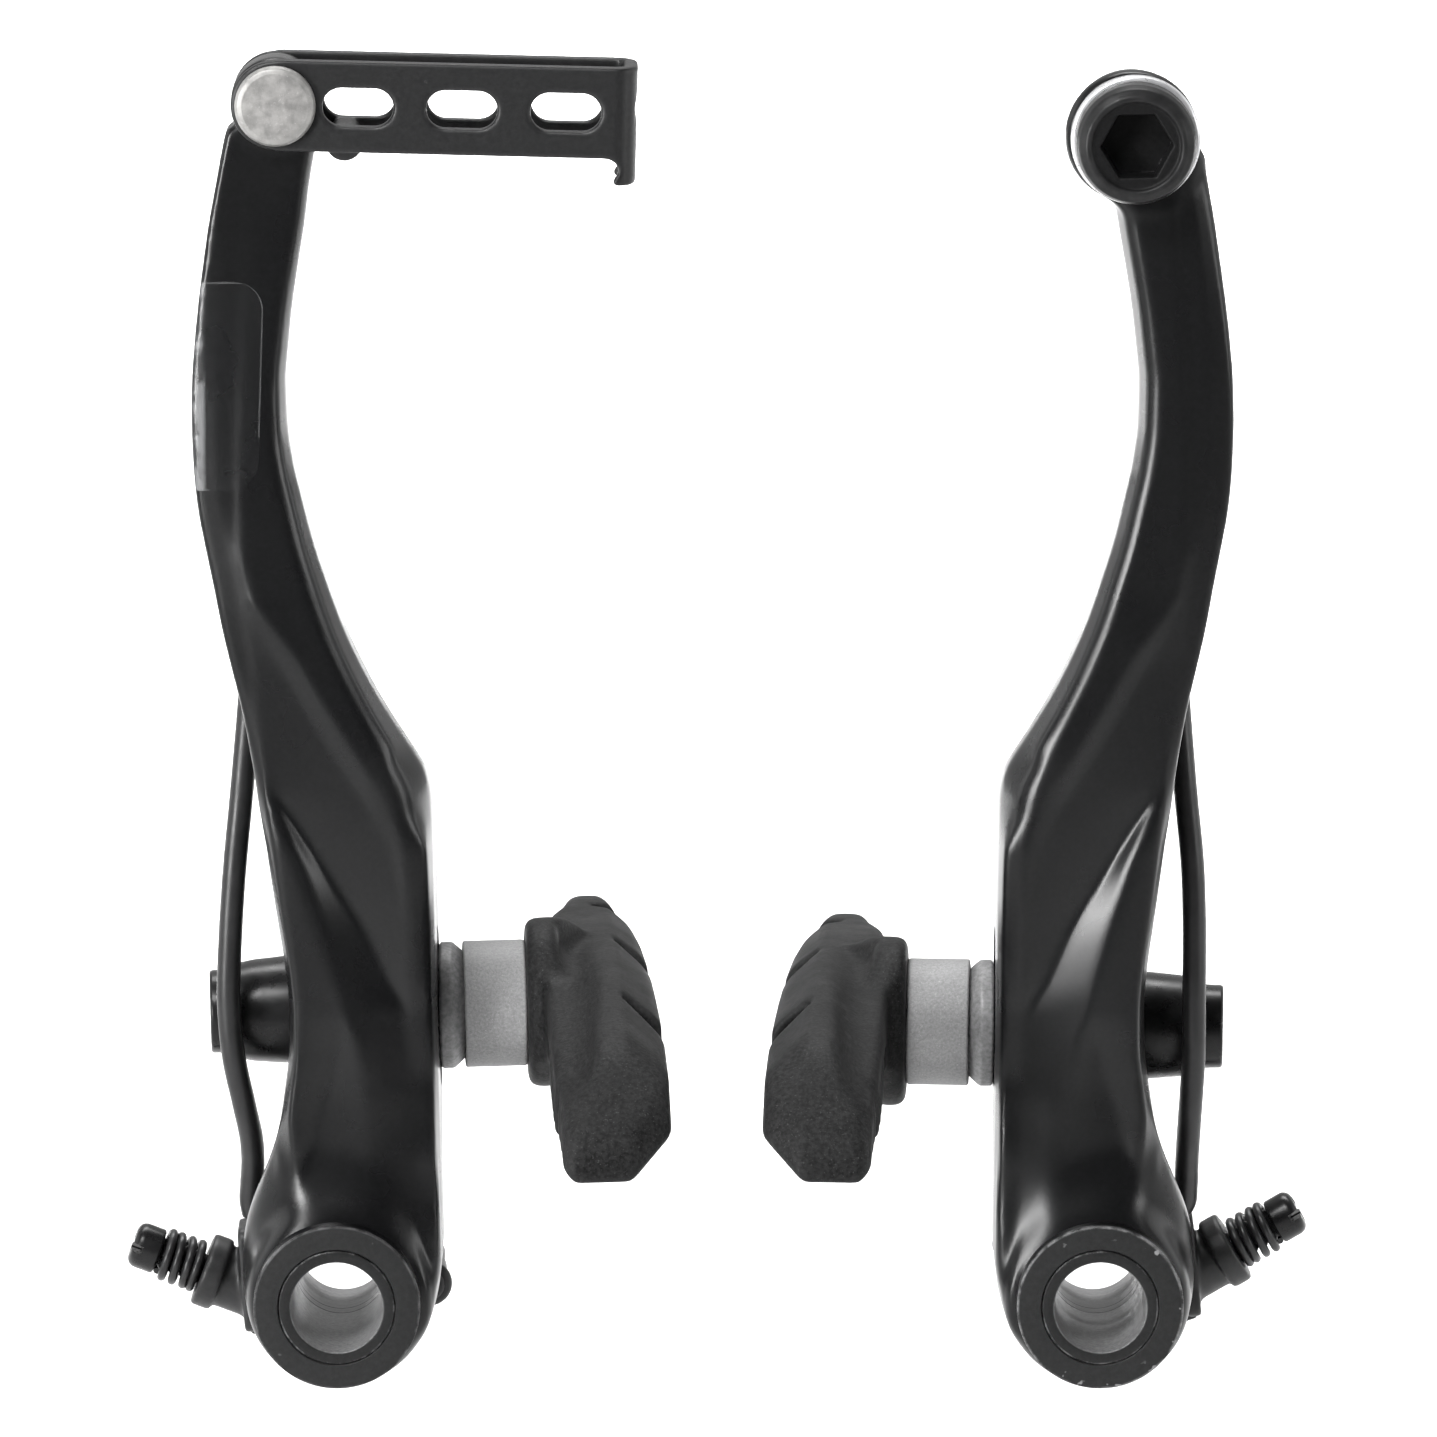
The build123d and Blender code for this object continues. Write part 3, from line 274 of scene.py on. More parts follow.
def blur(f, sigma):
    """Gaussian smoothing along the three axes; sigma in cells."""
    n = int(math.ceil(3 * sigma))
    k = np.exp(-0.5 * (np.arange(-n, n + 1) / sigma) ** 2)
    k /= k.sum()
    for ax in range(3):
        pad_w = [(0, 0)] * 3
        pad_w[ax] = (n, n)
        g = np.pad(f, pad_w, mode="edge")
        out = np.zeros_like(f)
        for i, w in enumerate(k):
            sl = [slice(None)] * 3
            sl[ax] = slice(i, i + f.shape[ax])
            out += w * g[tuple(sl)]
        f = out
    return f


def sample(f, lo, h, p):
    """Trilinear value of the field at points."""
    q = (p - lo) / h
    i = np.clip(np.floor(q).astype(int), 0, np.array(f.shape) - 2)
    t = q - i
    out = 0.0
    for a in (0, 1):
        for b in (0, 1):
            for c in (0, 1):
                w = (t[:, 0] if a else 1 - t[:, 0]) * (t[:, 1] if b else 1 - t[:, 1]) * (t[:, 2] if c else 1 - t[:, 2])
                out = out + w * f[i[:, 0] + a, i[:, 1] + b, i[:, 2] + c]
    return out


def gradient(f, lo, h, p, e):
    g = np.zeros_like(p)
    for ax in range(3):
        d = np.zeros(3)
        d[ax] = e
        g[:, ax] = (sample(f, lo, h, p + d) - sample(f, lo, h, p - d)) / (2 * e)
    return g


def surface_nets(f, lo, h):
    """Quads on the zero surface of a field (negative inside)."""
    s = f < 0
    nx, ny, nz = f.shape
    corners = [(a, b, c) for a in (0, 1) for b in (0, 1) for c in (0, 1)]
    cnt = sum(s[a:nx - 1 + a, b:ny - 1 + b, c:nz - 1 + c].astype(np.int8) for a, b, c in corners)
    active = (cnt > 0) & (cnt < 8)
    idx = np.full(active.shape, -1, np.int64)
    cells = np.argwhere(active)
    idx[active] = np.arange(len(cells))
    acc = np.zeros((len(cells), 3))
    num = np.zeros(len(cells))
    for u in corners:
        for ax in range(3):
            if u[ax]:
                continue
            v = list(u)
            v[ax] = 1
            fa = f[cells[:, 0] + u[0], cells[:, 1] + u[1], cells[:, 2] + u[2]]
            fb = f[cells[:, 0] + v[0], cells[:, 1] + v[1], cells[:, 2] + v[2]]
            hit = (fa < 0) != (fb < 0)
            t = np.where(hit, fa / np.where(hit, fa - fb, 1), 0)
            p = np.array(u, float)[None, :].repeat(len(cells), 0)
            p[:, ax] = t
            acc[hit] += p[hit]
            num[hit] += 1
    verts = lo + (cells + acc / num[:, None]) * h
    quads = []
    for ax in range(3):
        a, b = [(1, 2), (2, 0), (0, 1)][ax]
        sl0 = [slice(None)] * 3
        sl1 = [slice(None)] * 3
        sl0[ax], sl1[ax] = slice(0, -1), slice(1, None)
        s0, s1 = s[tuple(sl0)], s[tuple(sl1)]
        e = np.argwhere(s0 != s1)
        e = e[(e[:, a] > 0) & (e[:, b] > 0) & (e[:, a] < f.shape[a] - 1) & (e[:, b] < f.shape[b] - 1)]
        flip = s0[e[:, 0], e[:, 1], e[:, 2]]
        q = []
        for da, db in ((-1, -1), (0, -1), (0, 0), (-1, 0)):
            c = e.copy()
            c[:, a] += da
            c[:, b] += db
            q.append(idx[c[:, 0], c[:, 1], c[:, 2]])
        q = np.stack(q, 1)
        q[~flip] = q[~flip][:, ::-1]
        quads.append(q)
    quads = np.concatenate(quads)
    quads = quads[(quads >= 0).all(1)]
    for _ in range(3):
        g = gradient(f, lo, h, verts, 0.5 * h)
        v = sample(f, lo, h, verts)
        step = -g * (v / np.maximum((g * g).sum(1), 0.05))[:, None]
        n = np.linalg.norm(step, axis=1, keepdims=True)
        verts = verts + step * np.minimum(1, 0.4 * h / np.maximum(n, 1e-9))
    return verts, quads


def grid(lo, hi, h):
    n = np.ceil((np.array(hi) - np.array(lo)) / h).astype(int) + 1
    ax = [lo[i] + h * np.arange(n[i]) for i in range(3)]
    return np.array(lo, float), ax


# ------------------------------------------------------------------ mesh helpers
def new_object(name, verts, faces, smooth=True):
    me = bpy.data.meshes.new(name)
    verts = np.asarray(verts, float)
    faces = faces.tolist() if isinstance(faces, np.ndarray) else [tuple(int(i) for i in f) for f in faces]
    me.from_pydata(verts.tolist(), [], faces)
    me.update()
    ob = bpy.data.objects.new(name, me)
    bpy.context.scene.collection.objects.link(ob)
    if smooth:
        me.shade_smooth()
    return ob


def fix_normals(ob):
    bm = bmesh.new()
    bm.from_mesh(ob.data)
    bmesh.ops.recalc_face_normals(bm, faces=bm.faces)
    bm.to_mesh(ob.data)
    bm.free()


def smooth_by_angle(ob, deg):
    """Smooth shading that keeps edges sharper than an angle."""
    ob.data.shade_smooth()
    ob.data.set_sharp_from_angle(angle=math.radians(deg))


def field_object(name, f, lo, h, place, mirrored=False):
    v, q = surface_nets(f, lo, h)
    return new_object(name, place(v), q[:, ::-1] if mirrored else q)


def boolean(ob, cutter, op="DIFFERENCE"):
    """Applies one boolean with a scratch object, and removes that object."""
    m = ob.modifiers.new("b", "BOOLEAN")
    m.operation, m.object = op, cutter
    m.solver = "MANIFOLD"
    dg = bpy.context.evaluated_depsgraph_get()
    me = bpy.data.meshes.new_from_object(ob.evaluated_get(dg))
    ob.modifiers.clear()
    old, ob.data = ob.data, me
    bpy.data.meshes.remove(old)
    me2 = cutter.data
    bpy.data.objects.remove(cutter)
    bpy.data.meshes.remove(me2)
    return ob


def join(name, parts):
    """One object out of several closed meshes."""
    verts, faces, n = [], [], 0
    for o in parts:
        co = np.zeros(len(o.data.vertices) * 3)
        o.data.vertices.foreach_get("co", co)
        verts.append(co.reshape(-1, 3))
        faces += [tuple(i + n for i in p.vertices) for p in o.data.polygons]
        n += len(o.data.vertices)
        me = o.data
        bpy.data.objects.remove(o)
        bpy.data.meshes.remove(me)
    return new_object(name, np.concatenate(verts), faces)


def rounded(pts, r, n=5, closed=True):
    """Polygon with its corners rounded; r is one radius or one for each corner."""
    pts = [np.array(p, float) for p in pts]
    rs = [r] * len(pts) if np.isscalar(r) else list(r)
    out = []
    m = len(pts)
    for i, p in enumerate(pts):
        if not closed and i in (0, m - 1):
            out.append(tuple(p))
            continue
        a, b = pts[i - 1] - p, pts[(i + 1) % m] - p
        la, lb = np.linalg.norm(a), np.linalg.norm(b)
        a, b = a / la, b / lb
        cos = float(np.clip(np.dot(a, b), -1, 1))
        half = math.acos(cos) / 2
        if rs[i] <= 1e-6 or half > math.radians(86):
            out.append(tuple(p))
            continue
        t = min(rs[i] / math.tan(half), 0.48 * la, 0.48 * lb)
        rad = t * math.tan(half)
        c = p + (a + b) / np.linalg.norm(a + b) * (rad / math.sin(half))
        s, e = p + a * t - c, p + b * t - c
        sweep = math.pi - 2 * half
        turn = 1 if s[0] * e[1] - s[1] * e[0] > 0 else -1
        for k in range(n + 1):
            w = turn * sweep * k / n
            out.append((c[0] + s[0] * math.cos(w) - s[1] * math.sin(w), c[1] + s[0] * math.sin(w) + s[1] * math.cos(w)))
    return out


def arc(c, r, a0, a1, n):
    return [(c[0] + r * math.cos(a0 + (a1 - a0) * k / n), c[1] + r * math.sin(a0 + (a1 - a0) * k / n)) for k in range(n + 1)]


def turn_body(name, loop, axis, place, seg=96, ring=False):
    """Solid of revolution from (along, radius) points. A ring is a closed loop off the axis; otherwise the ends lie on the axis."""
    prof = np.array(loop, float)
    verts, faces, first = [], [], []
    for a, r in prof:
        if r < 1e-9:
            first.append((len(verts), 1))
            verts.append((a, 0, 0))
        else:
            first.append((len(verts), seg))
            for k in range(seg):
                t = 2 * math.pi * k / seg
                verts.append((a, r * math.cos(t), r * math.sin(t)))
    pairs = [(i, i + 1) for i in range(len(prof) - 1)] + ([(len(prof) - 1, 0)] if ring else [])
    for i, j in pairs:
        (p, n0), (q, n1) = first[i], first[j]
        if n0 == 1 and n1 == 1:
            continue
        for k in range(seg):
            l = (k + 1) % seg
            if n0 == 1:
                faces.append((p, q + l, q + k))
            elif n1 == 1:
                faces.append((p + k, p + l, q))
            else:
                faces.append((p + k, p + l, q + l, q + k))
    v = np.array(verts)
    if axis == "y":
        v = np.stack([v[:, 1], v[:, 0], -v[:, 2]], 1)
    ob = new_object(name, place(v), faces)
    fix_normals(ob)
    return ob


def prism(name, outline, lo, hi, axis, place):
    """Closed prism: outline in the two other axes, between two planes along axis."""
    n = len(outline)
    vs = []
    for w in (lo, hi):
        for a, b in outline:
            vs.append({"x": (w, a, b), "y": (a, w, b), "z": (a, b, w)}[axis])
    fs = [tuple(range(n)), tuple(range(2 * n - 1, n - 1, -1))] + [(i, i + n, (i + 1) % n + n, (i + 1) % n) for i in range(n)]
    ob = new_object(name, place(np.array(vs, float)), fs)
    fix_normals(ob)
    return ob


def smooth_line(points, n):
    """Dense points on a smooth curve through the given ones (centred tangents by chord length)."""
    p = np.array(points, float)
    d = np.concatenate([[0], np.cumsum(np.linalg.norm(np.diff(p, axis=0), axis=1))])
    m = np.zeros_like(p)
    for i in range(1, len(p) - 1):
        h0, h1 = d[i] - d[i - 1], d[i + 1] - d[i]
        s0, s1 = (p[i] - p[i - 1]) / h0, (p[i + 1] - p[i]) / h1
        m[i] = (s0 * h1 + s1 * h0) / (h0 + h1)
    m[0], m[-1] = (p[1] - p[0]) / (d[1] - d[0]), (p[-1] - p[-2]) / (d[-1] - d[-2])
    t = np.linspace(0, d[-1], n)
    i = np.clip(np.searchsorted(d, t, side="right") - 1, 0, len(p) - 2)
    h = (d[i + 1] - d[i])[:, None]
    u = ((t - d[i]) / (d[i + 1] - d[i]))[:, None]
    return ((2 * u**3 - 3 * u**2 + 1) * p[i] + (u**3 - 2 * u**2 + u) * h * m[i] + (-2 * u**3 + 3 * u**2) * p[i + 1] + (u**3 - u**2) * h * m[i + 1])


def tube(name, line, profile, place, seg=20, ring=False):
    """Sweeps along a line; profile gives (index on the line, shift along it, radius) for each ring of vertices."""
    line = np.asarray(line, float)
    tan = np.gradient(line, axis=0)
    tan /= np.linalg.norm(tan, axis=1, keepdims=True)
    nrm = np.zeros_like(line)
    v = np.cross(tan[0], (0, 1, 0) if abs(tan[0][1]) < 0.9 else (1, 0, 0))
    nrm[0] = v / np.linalg.norm(v)
    for i in range(1, len(line)):
        w = nrm[i - 1] - tan[i] * np.dot(nrm[i - 1], tan[i])
        nrm[i] = w / np.linalg.norm(w)
    bi = np.cross(tan, nrm)
    verts, faces, first = [], [], []
    for i, shift, r in profile:
        if r < 1e-9:
            first.append((len(verts), 1))
            verts.append(line[i] + tan[i] * shift)
        else:
            first.append((len(verts), seg))
            for k in range(seg):
                t = 2 * math.pi * k / seg
                verts.append(line[i] + tan[i] * shift + (nrm[i] * math.cos(t) + bi[i] * math.sin(t)) * r)
    pairs = [(i, i + 1) for i in range(len(profile) - 1)] + ([(len(profile) - 1, 0)] if ring else [])
    for i, j in pairs:
        (p, n0), (q, n1) = first[i], first[j]
        for k in range(seg):
            l = (k + 1) % seg
            if n0 == 1:
                faces.append((p, q + l, q + k))
            elif n1 == 1:
                faces.append((p + k, p + l, q))
            else:
                faces.append((p + k, p + l, q + l, q + k))
    ob = new_object(name, place(np.array(verts)), faces)
    fix_normals(ob)
    return ob


def settle(ob, body, slot, *nodes):
    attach(ob, body)
    if nodes:
        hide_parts(*nodes)
    return ob


PIECES = {}


# ------------------------------------------------------------------ arms
ARM_CELL = 0.31
FIELDS = {}


def arm_field(left):
    h = ARM_CELL
    lo, (ax, ay, az) = grid((-13.2, -25.2, -10.5), (11.6, 0.6, 112.6), h)
    X, Y = np.meshgrid(ax, ay, indexing="ij")
    f = np.empty((len(ax), len(ay), len(az)))
    z_top = 104.0 if left else 101.5
    secs = sections(az, left)
    for k in range(len(az)):
        f[:, :, k] = polygon_distance(secs[k], X, Y)
    cap = np.maximum(az - z_top, -5.5 - az)
    f = np.where(cap[None, None, :] > 0, np.sqrt(np.maximum(f, 0) ** 2 + np.maximum(cap, 0)[None, None, :] ** 2), np.maximum(f, cap[None, None, :]))
    Z = az[None, None, :]
    XX, YY = ax[:, None, None], ay[None, :, None]

    def disc(cx, cz, r, y0, y1, k):
        rr = np.sqrt((XX - cx) ** 2 + (Z - cz) ** 2) - r
        yy = np.abs(YY - (y0 + y1) / 2) - abs(y1 - y0) / 2
        return smax(rr, yy, k)

    rr = np.sqrt(XX**2 + Z**2)
    slope = math.atan(1.5)
    cone = (rr - FLARE_R - 1.5 * (YY - FLARE_Y)) * math.cos(slope)
    flare = smax(smax(cone, FLARE_Y - YY, 1.6), YY - FLARE_Y - 2.2, 0.2)
    side = (np.abs(XX - FLARE_X) - FLARE_W - 1.9 * (YY - FLARE_Y)) * math.cos(math.atan(1.9))
    limit = smax(side, np.broadcast_to(np.maximum(2.0 - Z, Z - 12.5), f.shape), 0.5)
    f = smin(f, smax(flare, limit, 1.0), 1.6)
    f = smin(f, disc(0, 0, BOSS_R, Y_FRONT + 1.7, BOSS_REAR, 1.2), 1.1)
    if left:
        f = smax(f, np.where(Z > 90, -XX - 8.2 + 0.236 * (Z - 99.0), -50.0), 0.5)
        f = smin(f, disc(EYE_L[0], EYE_L[1], EYE_L_R, EYE_Y - 2.05, EYE_Y + 2.05, 0.3), 0.6)
    else:
        t = np.clip((YY - CLAMP_Y) / (-13.3 - CLAMP_Y), 0, 1)
        rad = EYE_R_R + (EYE_R_REAR - EYE_R_R) * t
        f = smin(f, disc(EYE_R[0] + EYE_R_OFF, EYE_R[1], rad, CLAMP_Y, -13.3, 1.6), 1.6)
        f = smax(f, np.where(Z > 88, CLAMP_Y - YY - np.maximum(98.0 - Z, 0) * 0.3, -50.0), 0.25)
    # edges are crisp on the blade and soften towards the boss and along its inner side
    step = lambda v, a, b: np.clip((v - a) / (b - a), 0, 1) ** 2 * (3 - 2 * np.clip((v - a) / (b - a), 0, 1))
    low = np.maximum(step(Z, 14.5, 8.5), step(XX, 2.0, 4.0) * step(Z, 24.0, 18.5)) * step(XX, 8.4, 6.6)
    low = np.maximum(low, 0.7 * np.exp(-(((Z - 44.5) / 4.0) ** 2)) * step(XX, 3.0, 5.0))
    f = blur(f, 0.27 / h) * (1 - low) + blur(f, 1.15 / h) * low
    f = np.maximum(f, np.where(Z < 8.0, YY - BOSS_REAR, -50.0))
    return f, lo, h


def make_arm(side):
    left = side == "left"
    f, lo, h = arm_field(left)
    FIELDS[side] = (f, lo, h)
    put = lambda p: row(p, side)
    ob = field_object(f"{side}_arm_forging", f, lo, h, put, not left)
    c = 0.2
    ring = turn_body("ring", rounded([(Y_FRONT, 0), (Y_FRONT, RING_R), (Y_FRONT + 3, RING_R), (Y_FRONT + 3, 0)], [0, c, 0, 0], 4, False), "y", put, 160)
    boolean(ob, ring, "UNION")
    bore = turn_body("bore", [(Y_FRONT - 3, 0), (Y_FRONT - 3, ARM_BORE_R + 3.1), (Y_FRONT + 0.1, ARM_BORE_R), (3, ARM_BORE_R), (3, 0)], "y", put, 160)
    boolean(ob, bore)
    cx, cz, r = (EYE_L[0], EYE_L[1], 2.35) if left else (EYE_R[0], EYE_R[1], 3.0)
    hole = turn_body("hole", [(-40, 0), (-40, r), (0, r), (0, 0)], "y", lambda p: row(p + np.array([cx, 0, cz]), side), 64)
    boolean(ob, hole)
    half = arc((0, SLOT_HALF_L), SLOT_HALF_W, 0, math.pi, 32)
    outline = [(STUD_Y + a, STUD_Z + b) for a, b in half + [(-a, -b) for a, b in half]]
    boolean(ob, prism("slot", outline, -14.0, 14.0, "x", put))
    smooth_by_angle(ob, 40)
    PIECES[f"{side}_arm"] = settle(ob, f"{side}_arm", "arm_paint", f"{side}_arm")
    print(side, "arm triangles", sum(len(p.vertices) - 2 for p in ob.data.polygons))


for side in ("left", "right"):
    make_arm(side)


# ------------------------------------------------------------------ clear film on the left arm's outer face
def make_film():
    f, lo, h = FIELDS["left"]
    z0, z1, nz, nx = 72.4, 90.6, 110, 46
    zs = np.linspace(z0, z1, nz)
    left_x = curve(XO, zs) + 0.22
    t = (zs - z0) / (z1 - z0)
    right_x = -5.0 + 0.95 * t
    rc = 2.6
    for edge, dist in ((z1, z1 - zs), (z0, zs - z0)):
        k = np.clip(1 - dist / rc, 0, 1)
        right_x = right_x - rc * (1 - np.sqrt(np.maximum(1 - k * k, 0)))
    u = np.linspace(0, 1, nx)
    X = left_x[:, None] + (right_x - left_x)[:, None] * u[None, :]
    Z = np.repeat(zs[:, None], nx, 1)
    ys = np.arange(-24.5, -12.0, 0.06)
    P = np.stack([np.repeat(X.reshape(-1, 1), len(ys), 1), np.repeat(ys[None, :], X.size, 0), np.repeat(Z.reshape(-1, 1), len(ys), 1)], 2)
    val = sample(f, lo, h, P.reshape(-1, 3)).reshape(X.size, len(ys))
    hit = np.argmax(val < 0, 1)
    y = ys[hit]
    top = np.stack([X.reshape(-1), y, Z.reshape(-1)], 1)
    for _ in range(4):
        g = gradient(f, lo, h, top, 0.5 * h)
        v = sample(f, lo, h, top)
        top = top - g * ((v - 0.07) / np.maximum((g * g).sum(1), 0.1))[:, None]
    g = gradient(f, lo, h, top, 0.5 * h)
    g /= np.linalg.norm(g, axis=1, keepdims=True)
    low = top - g * 0.06
    n = nz * nx
    idx = np.arange(n).reshape(nz, nx)
    faces = []
    for a in range(nz - 1):
        for b in range(nx - 1):
            q = (idx[a, b], idx[a, b + 1], idx[a + 1, b + 1], idx[a + 1, b])
            faces.append(q)
            faces.append(tuple(i + n for i in reversed(q)))
    rim = list(idx[0, :]) + list(idx[1:, -1]) + list(idx[-1, :-1][::-1]) + list(idx[1:-1, 0][::-1])
    for a, b in zip(rim, rim[1:] + rim[:1]):
        faces.append((b, a, a + n, b + n))
    ob = new_object("left_arm_film", row(np.concatenate([top, low]), "left"), faces)
    fix_normals(ob)
    smooth_by_angle(ob, 50)
    PIECES["film"] = settle(ob, "left_arm", None)
    # faces along the cut edge at the top, the right side and the lower left; they carry a painted sheen
    return [2 * (a * (nx - 1) + b) for a in range(nz - 1) for b in range(nx - 1) if (b >= nx - 2 and a > nz // 4) or a >= nz - 2 or (a == 0 and b < nx // 3)]


FILM_CUT = make_film()


# ------------------------------------------------------------------ shoes: rubber blocks, washers, nuts
def pad_field(lift, tilt):
    h = 0.27
    lo, (ax, ay, az) = grid((16.0, -42.0, -8.9), (30.0, 29.0, 8.9), h)
    X, V, Z = ax[:, None, None], ay[None, :, None], az[None, None, :]
    W = Z - lift - tilt * V + V**2 / (2 * RIM_R)
    shape = (len(ax), len(ay), len(az))

    def swell(pts):
        # the worn-in braking side stands a touch proud
        return [(x + 0.45 * max(0.0, (x - 24.0) / 4.3), v) for x, v in pts]

    sec = polygon_distance(swell(PAD_SECTION), np.broadcast_to(X, shape), np.broadcast_to(W, shape))
    X2d, V2d = np.meshgrid(ax, ay, indexing="ij")
    k = [i for i, p in enumerate(PAD_PLAN) if p == (27.8, 0)][0]
    tail = [(27.4, 11), (26.9, 17), (25.7, 21.5), (25.0, 25.8), (24.4, PAD_BACK), (22.0, PAD_BACK), (21.3, 25.8), (20.6, 20.5), (19.2, 15), (18.6, 9), (15, 9)]
    plan = polygon_distance(swell(PAD_PLAN[:k + 1] + tail), X2d, V2d)[:, :, None]
    f = smax(sec, np.broadcast_to(plan, shape), 1.3)
    (v0, w0), (v1, w1) = PAD_NOSE[1], PAD_NOSE[2]
    n = math.hypot(v1 - v0, w1 - w0)
    f = smax(f, np.broadcast_to(((w0 - w1) * (V - v0) + (v1 - v0) * (W - w0)) / n, shape), 2.4)
    # hollow running from beside the shoulder to the leading end's near corner
    a, b = np.array([21.2, 5.0, 8.1]), np.array([17.9, -42.0, 3.4])
    d = (b - a) / np.linalg.norm(b - a)
    t = (X - a[0]) * d[0] + (V - a[1]) * d[1] + (W - a[2]) * d[2]
    reach = np.clip(t, 0, 60)
    away = np.sqrt((X - a[0] - reach * d[0]) ** 2 + (V - a[1] - reach * d[1]) ** 2 + (W - a[2] - reach * d[2]) ** 2)
    f = smax(f, 3.3 - away, 1.2)
    rr = np.sqrt(V**2 + Z**2) - 7.5
    # the round shoulder runs into the block on its trailing side
    xx = np.maximum(CUP_FAR - X, X - 19.9 - 2.3 * np.clip((V + 0.5) / 5, 0, 1))
    f = smin(f, smax(rr, xx, 1.2), 1.8)
    for off, deep in ((-19.0, 25.0), (1.5, 25.0), (18.5, 23.6)):
        cut = polygon_distance([(deep, off + 2.8), (30.4, off + 0.2), (30.4, off - 6.0), (deep, off + 1.2)], X2d, V2d)[:, :, None]
        f = smax(f, -np.broadcast_to(cut, shape), 0.2)
    f = blur(f, 0.28 / h)
    # slit behind the leading end, moulded round the stud plate, and the small ribs below it
    slit = np.maximum(np.maximum(np.abs(X - 18.6) - 1.0, np.abs(V + 11.5) - 2.4), np.abs(W + 2.9) - 1.5)
    f = smax(f, -slit, 0.35)
    ribs = np.clip((19.5 - X) / 0.6, 0, 1) * np.clip((0.5 - W) / 1.5, 0, 1) * np.clip((V + 36) / 3, 0, 1) * np.clip((-15 - V) / 2, 0, 1)
    f = f + 0.16 * ribs * np.sin(V * 2 * math.pi / 2.6)
    return np.maximum(f, CUP_FAR - X), lo, h


PAD_F = {"left": pad_field(0.0, 0.0), "right": pad_field(0.8, 0.013)}


def stud_place(side, toed=True, turned=False):
    def put(p):
        p = np.asarray(p, float)
        if turned:
            a = math.radians(SHOE_TURN[side])
            c, k = math.cos(a), math.sin(a)
            p = np.stack([p[..., 0], p[..., 1] * c - p[..., 2] * k, p[..., 1] * k + p[..., 2] * c], -1)
        p = p + np.array([0, STUD_Y, STUD_Z])
        p = toe(p) if toed else p
        return row(p - np.array([0, 0, SHOE_DROP[side]]), side)
    return put


def dome_loop(inner):
    s = 1 if inner else -1
    flat = FACE_X + 0.07 if inner else WEB_X - 0.07
    h = 3.7
    rim = SPHERE_X + s * math.sqrt(SPHERE_R**2 - WASHER_R**2)
    a0, a1 = math.asin(WASHER_R / SPHERE_R), math.asin(h / SPHERE_R)
    ball = [(SPHERE_X + s * SPHERE_R * math.cos(a0 + (a1 - a0) * k / 14), SPHERE_R * math.sin(a0 + (a1 - a0) * k / 14)) for k in range(15)]
    soft = rounded([(flat, h), (flat, WASHER_R), ball[0], ball[2]], [0, 0.3, 0.8, 0], 6, False)
    return soft[:-1] + ball[2:]


def cup_loop(inner):
    s = 1 if inner else -1
    far = CUP_FAR if inner else NUT_IN
    r, h = SPHERE_R + 0.04, 3.05
    rim = SPHERE_X + s * CUP_RIM
    rim_r = math.sqrt(r**2 - CUP_RIM**2)
    a0, a1 = math.asin(rim_r / r), math.asin(h / r)
    ball = [(SPHERE_X + s * r * math.cos(a0 + (a1 - a0) * k / 12), r * math.sin(a0 + (a1 - a0) * k / 12)) for k in range(13)]
    outer = rounded([(far, h), (far, WASHER_R), (rim, WASHER_R), ball[0]], [0, 0.28, 0.22, 0], 5, False)
    return outer + ball[1:]


for side in ("left", "right"):
    f, lo, h = PAD_F[side]
    ob = field_object(f"{side}_shoe_block", f, lo, h, stud_place(side, True, True), side == "right")
    smooth_by_angle(ob, 45)
    PIECES[f"{side}_pad"] = settle(ob, f"{side}_shoe", "shoe_rubber", f"{side}_brake_shoe")
    for inner, word in ((True, "inner"), (False, "outer")):
        ob = turn_body(f"{side}_{word}_dome", dome_loop(inner), "x", stud_place(side, False), 128, True)
        smooth_by_angle(ob, 32)
        PIECES[f"{side}_{word}_dome"] = settle(ob, f"{side}_shoe_seat", "washer_grey", f"{side}_{word}_dome_washer")
        ob = turn_body(f"{side}_{word}_cup", cup_loop(inner), "x", stud_place(side), 128, True)
        smooth_by_angle(ob, 32)
        PIECES[f"{side}_{word}_cup"] = settle(ob, f"{side}_shoe_cups", "washer_grey", f"{side}_{word}_cup_washer")
    prof = rounded([(NUT_IN, 3.0), (NUT_IN, 4.75), (-4.4, 4.75), (-7.2, 4.5), (-8.9, 4.15), (-9.35, 3.72), (NUT_OUT, 3.66), (NUT_OUT, 0), (-7.7, 0), (-7.7, 3.0)],
                   [0, 0.3, 2.5, 2.0, 0.5, 0.25, 0.3, 0, 0, 0], 6, True)
    k = [i for i, p in enumerate(prof) if p[1] < 1e-9]
    prof = prof[k[-1]:] + prof[:k[-1]]
    ob = turn_body(f"{side}_nut_barrel", prof, "x", stud_place(side), 96)
    hexa = [(2.55 / math.cos(math.pi / 6) * math.cos(math.pi / 3 * j), 2.55 / math.cos(math.pi / 6) * math.sin(math.pi / 3 * j)) for j in range(6)]
    boolean(ob, prism("hex", hexa, NUT_OUT - 2, NUT_OUT + 3.2, "x", stud_place(side)))
    smooth_by_angle(ob, 32)
    PIECES[f"{side}_nut"] = settle(ob, f"{side}_shoe", "black_steel", f"{side}_shoe_nut")


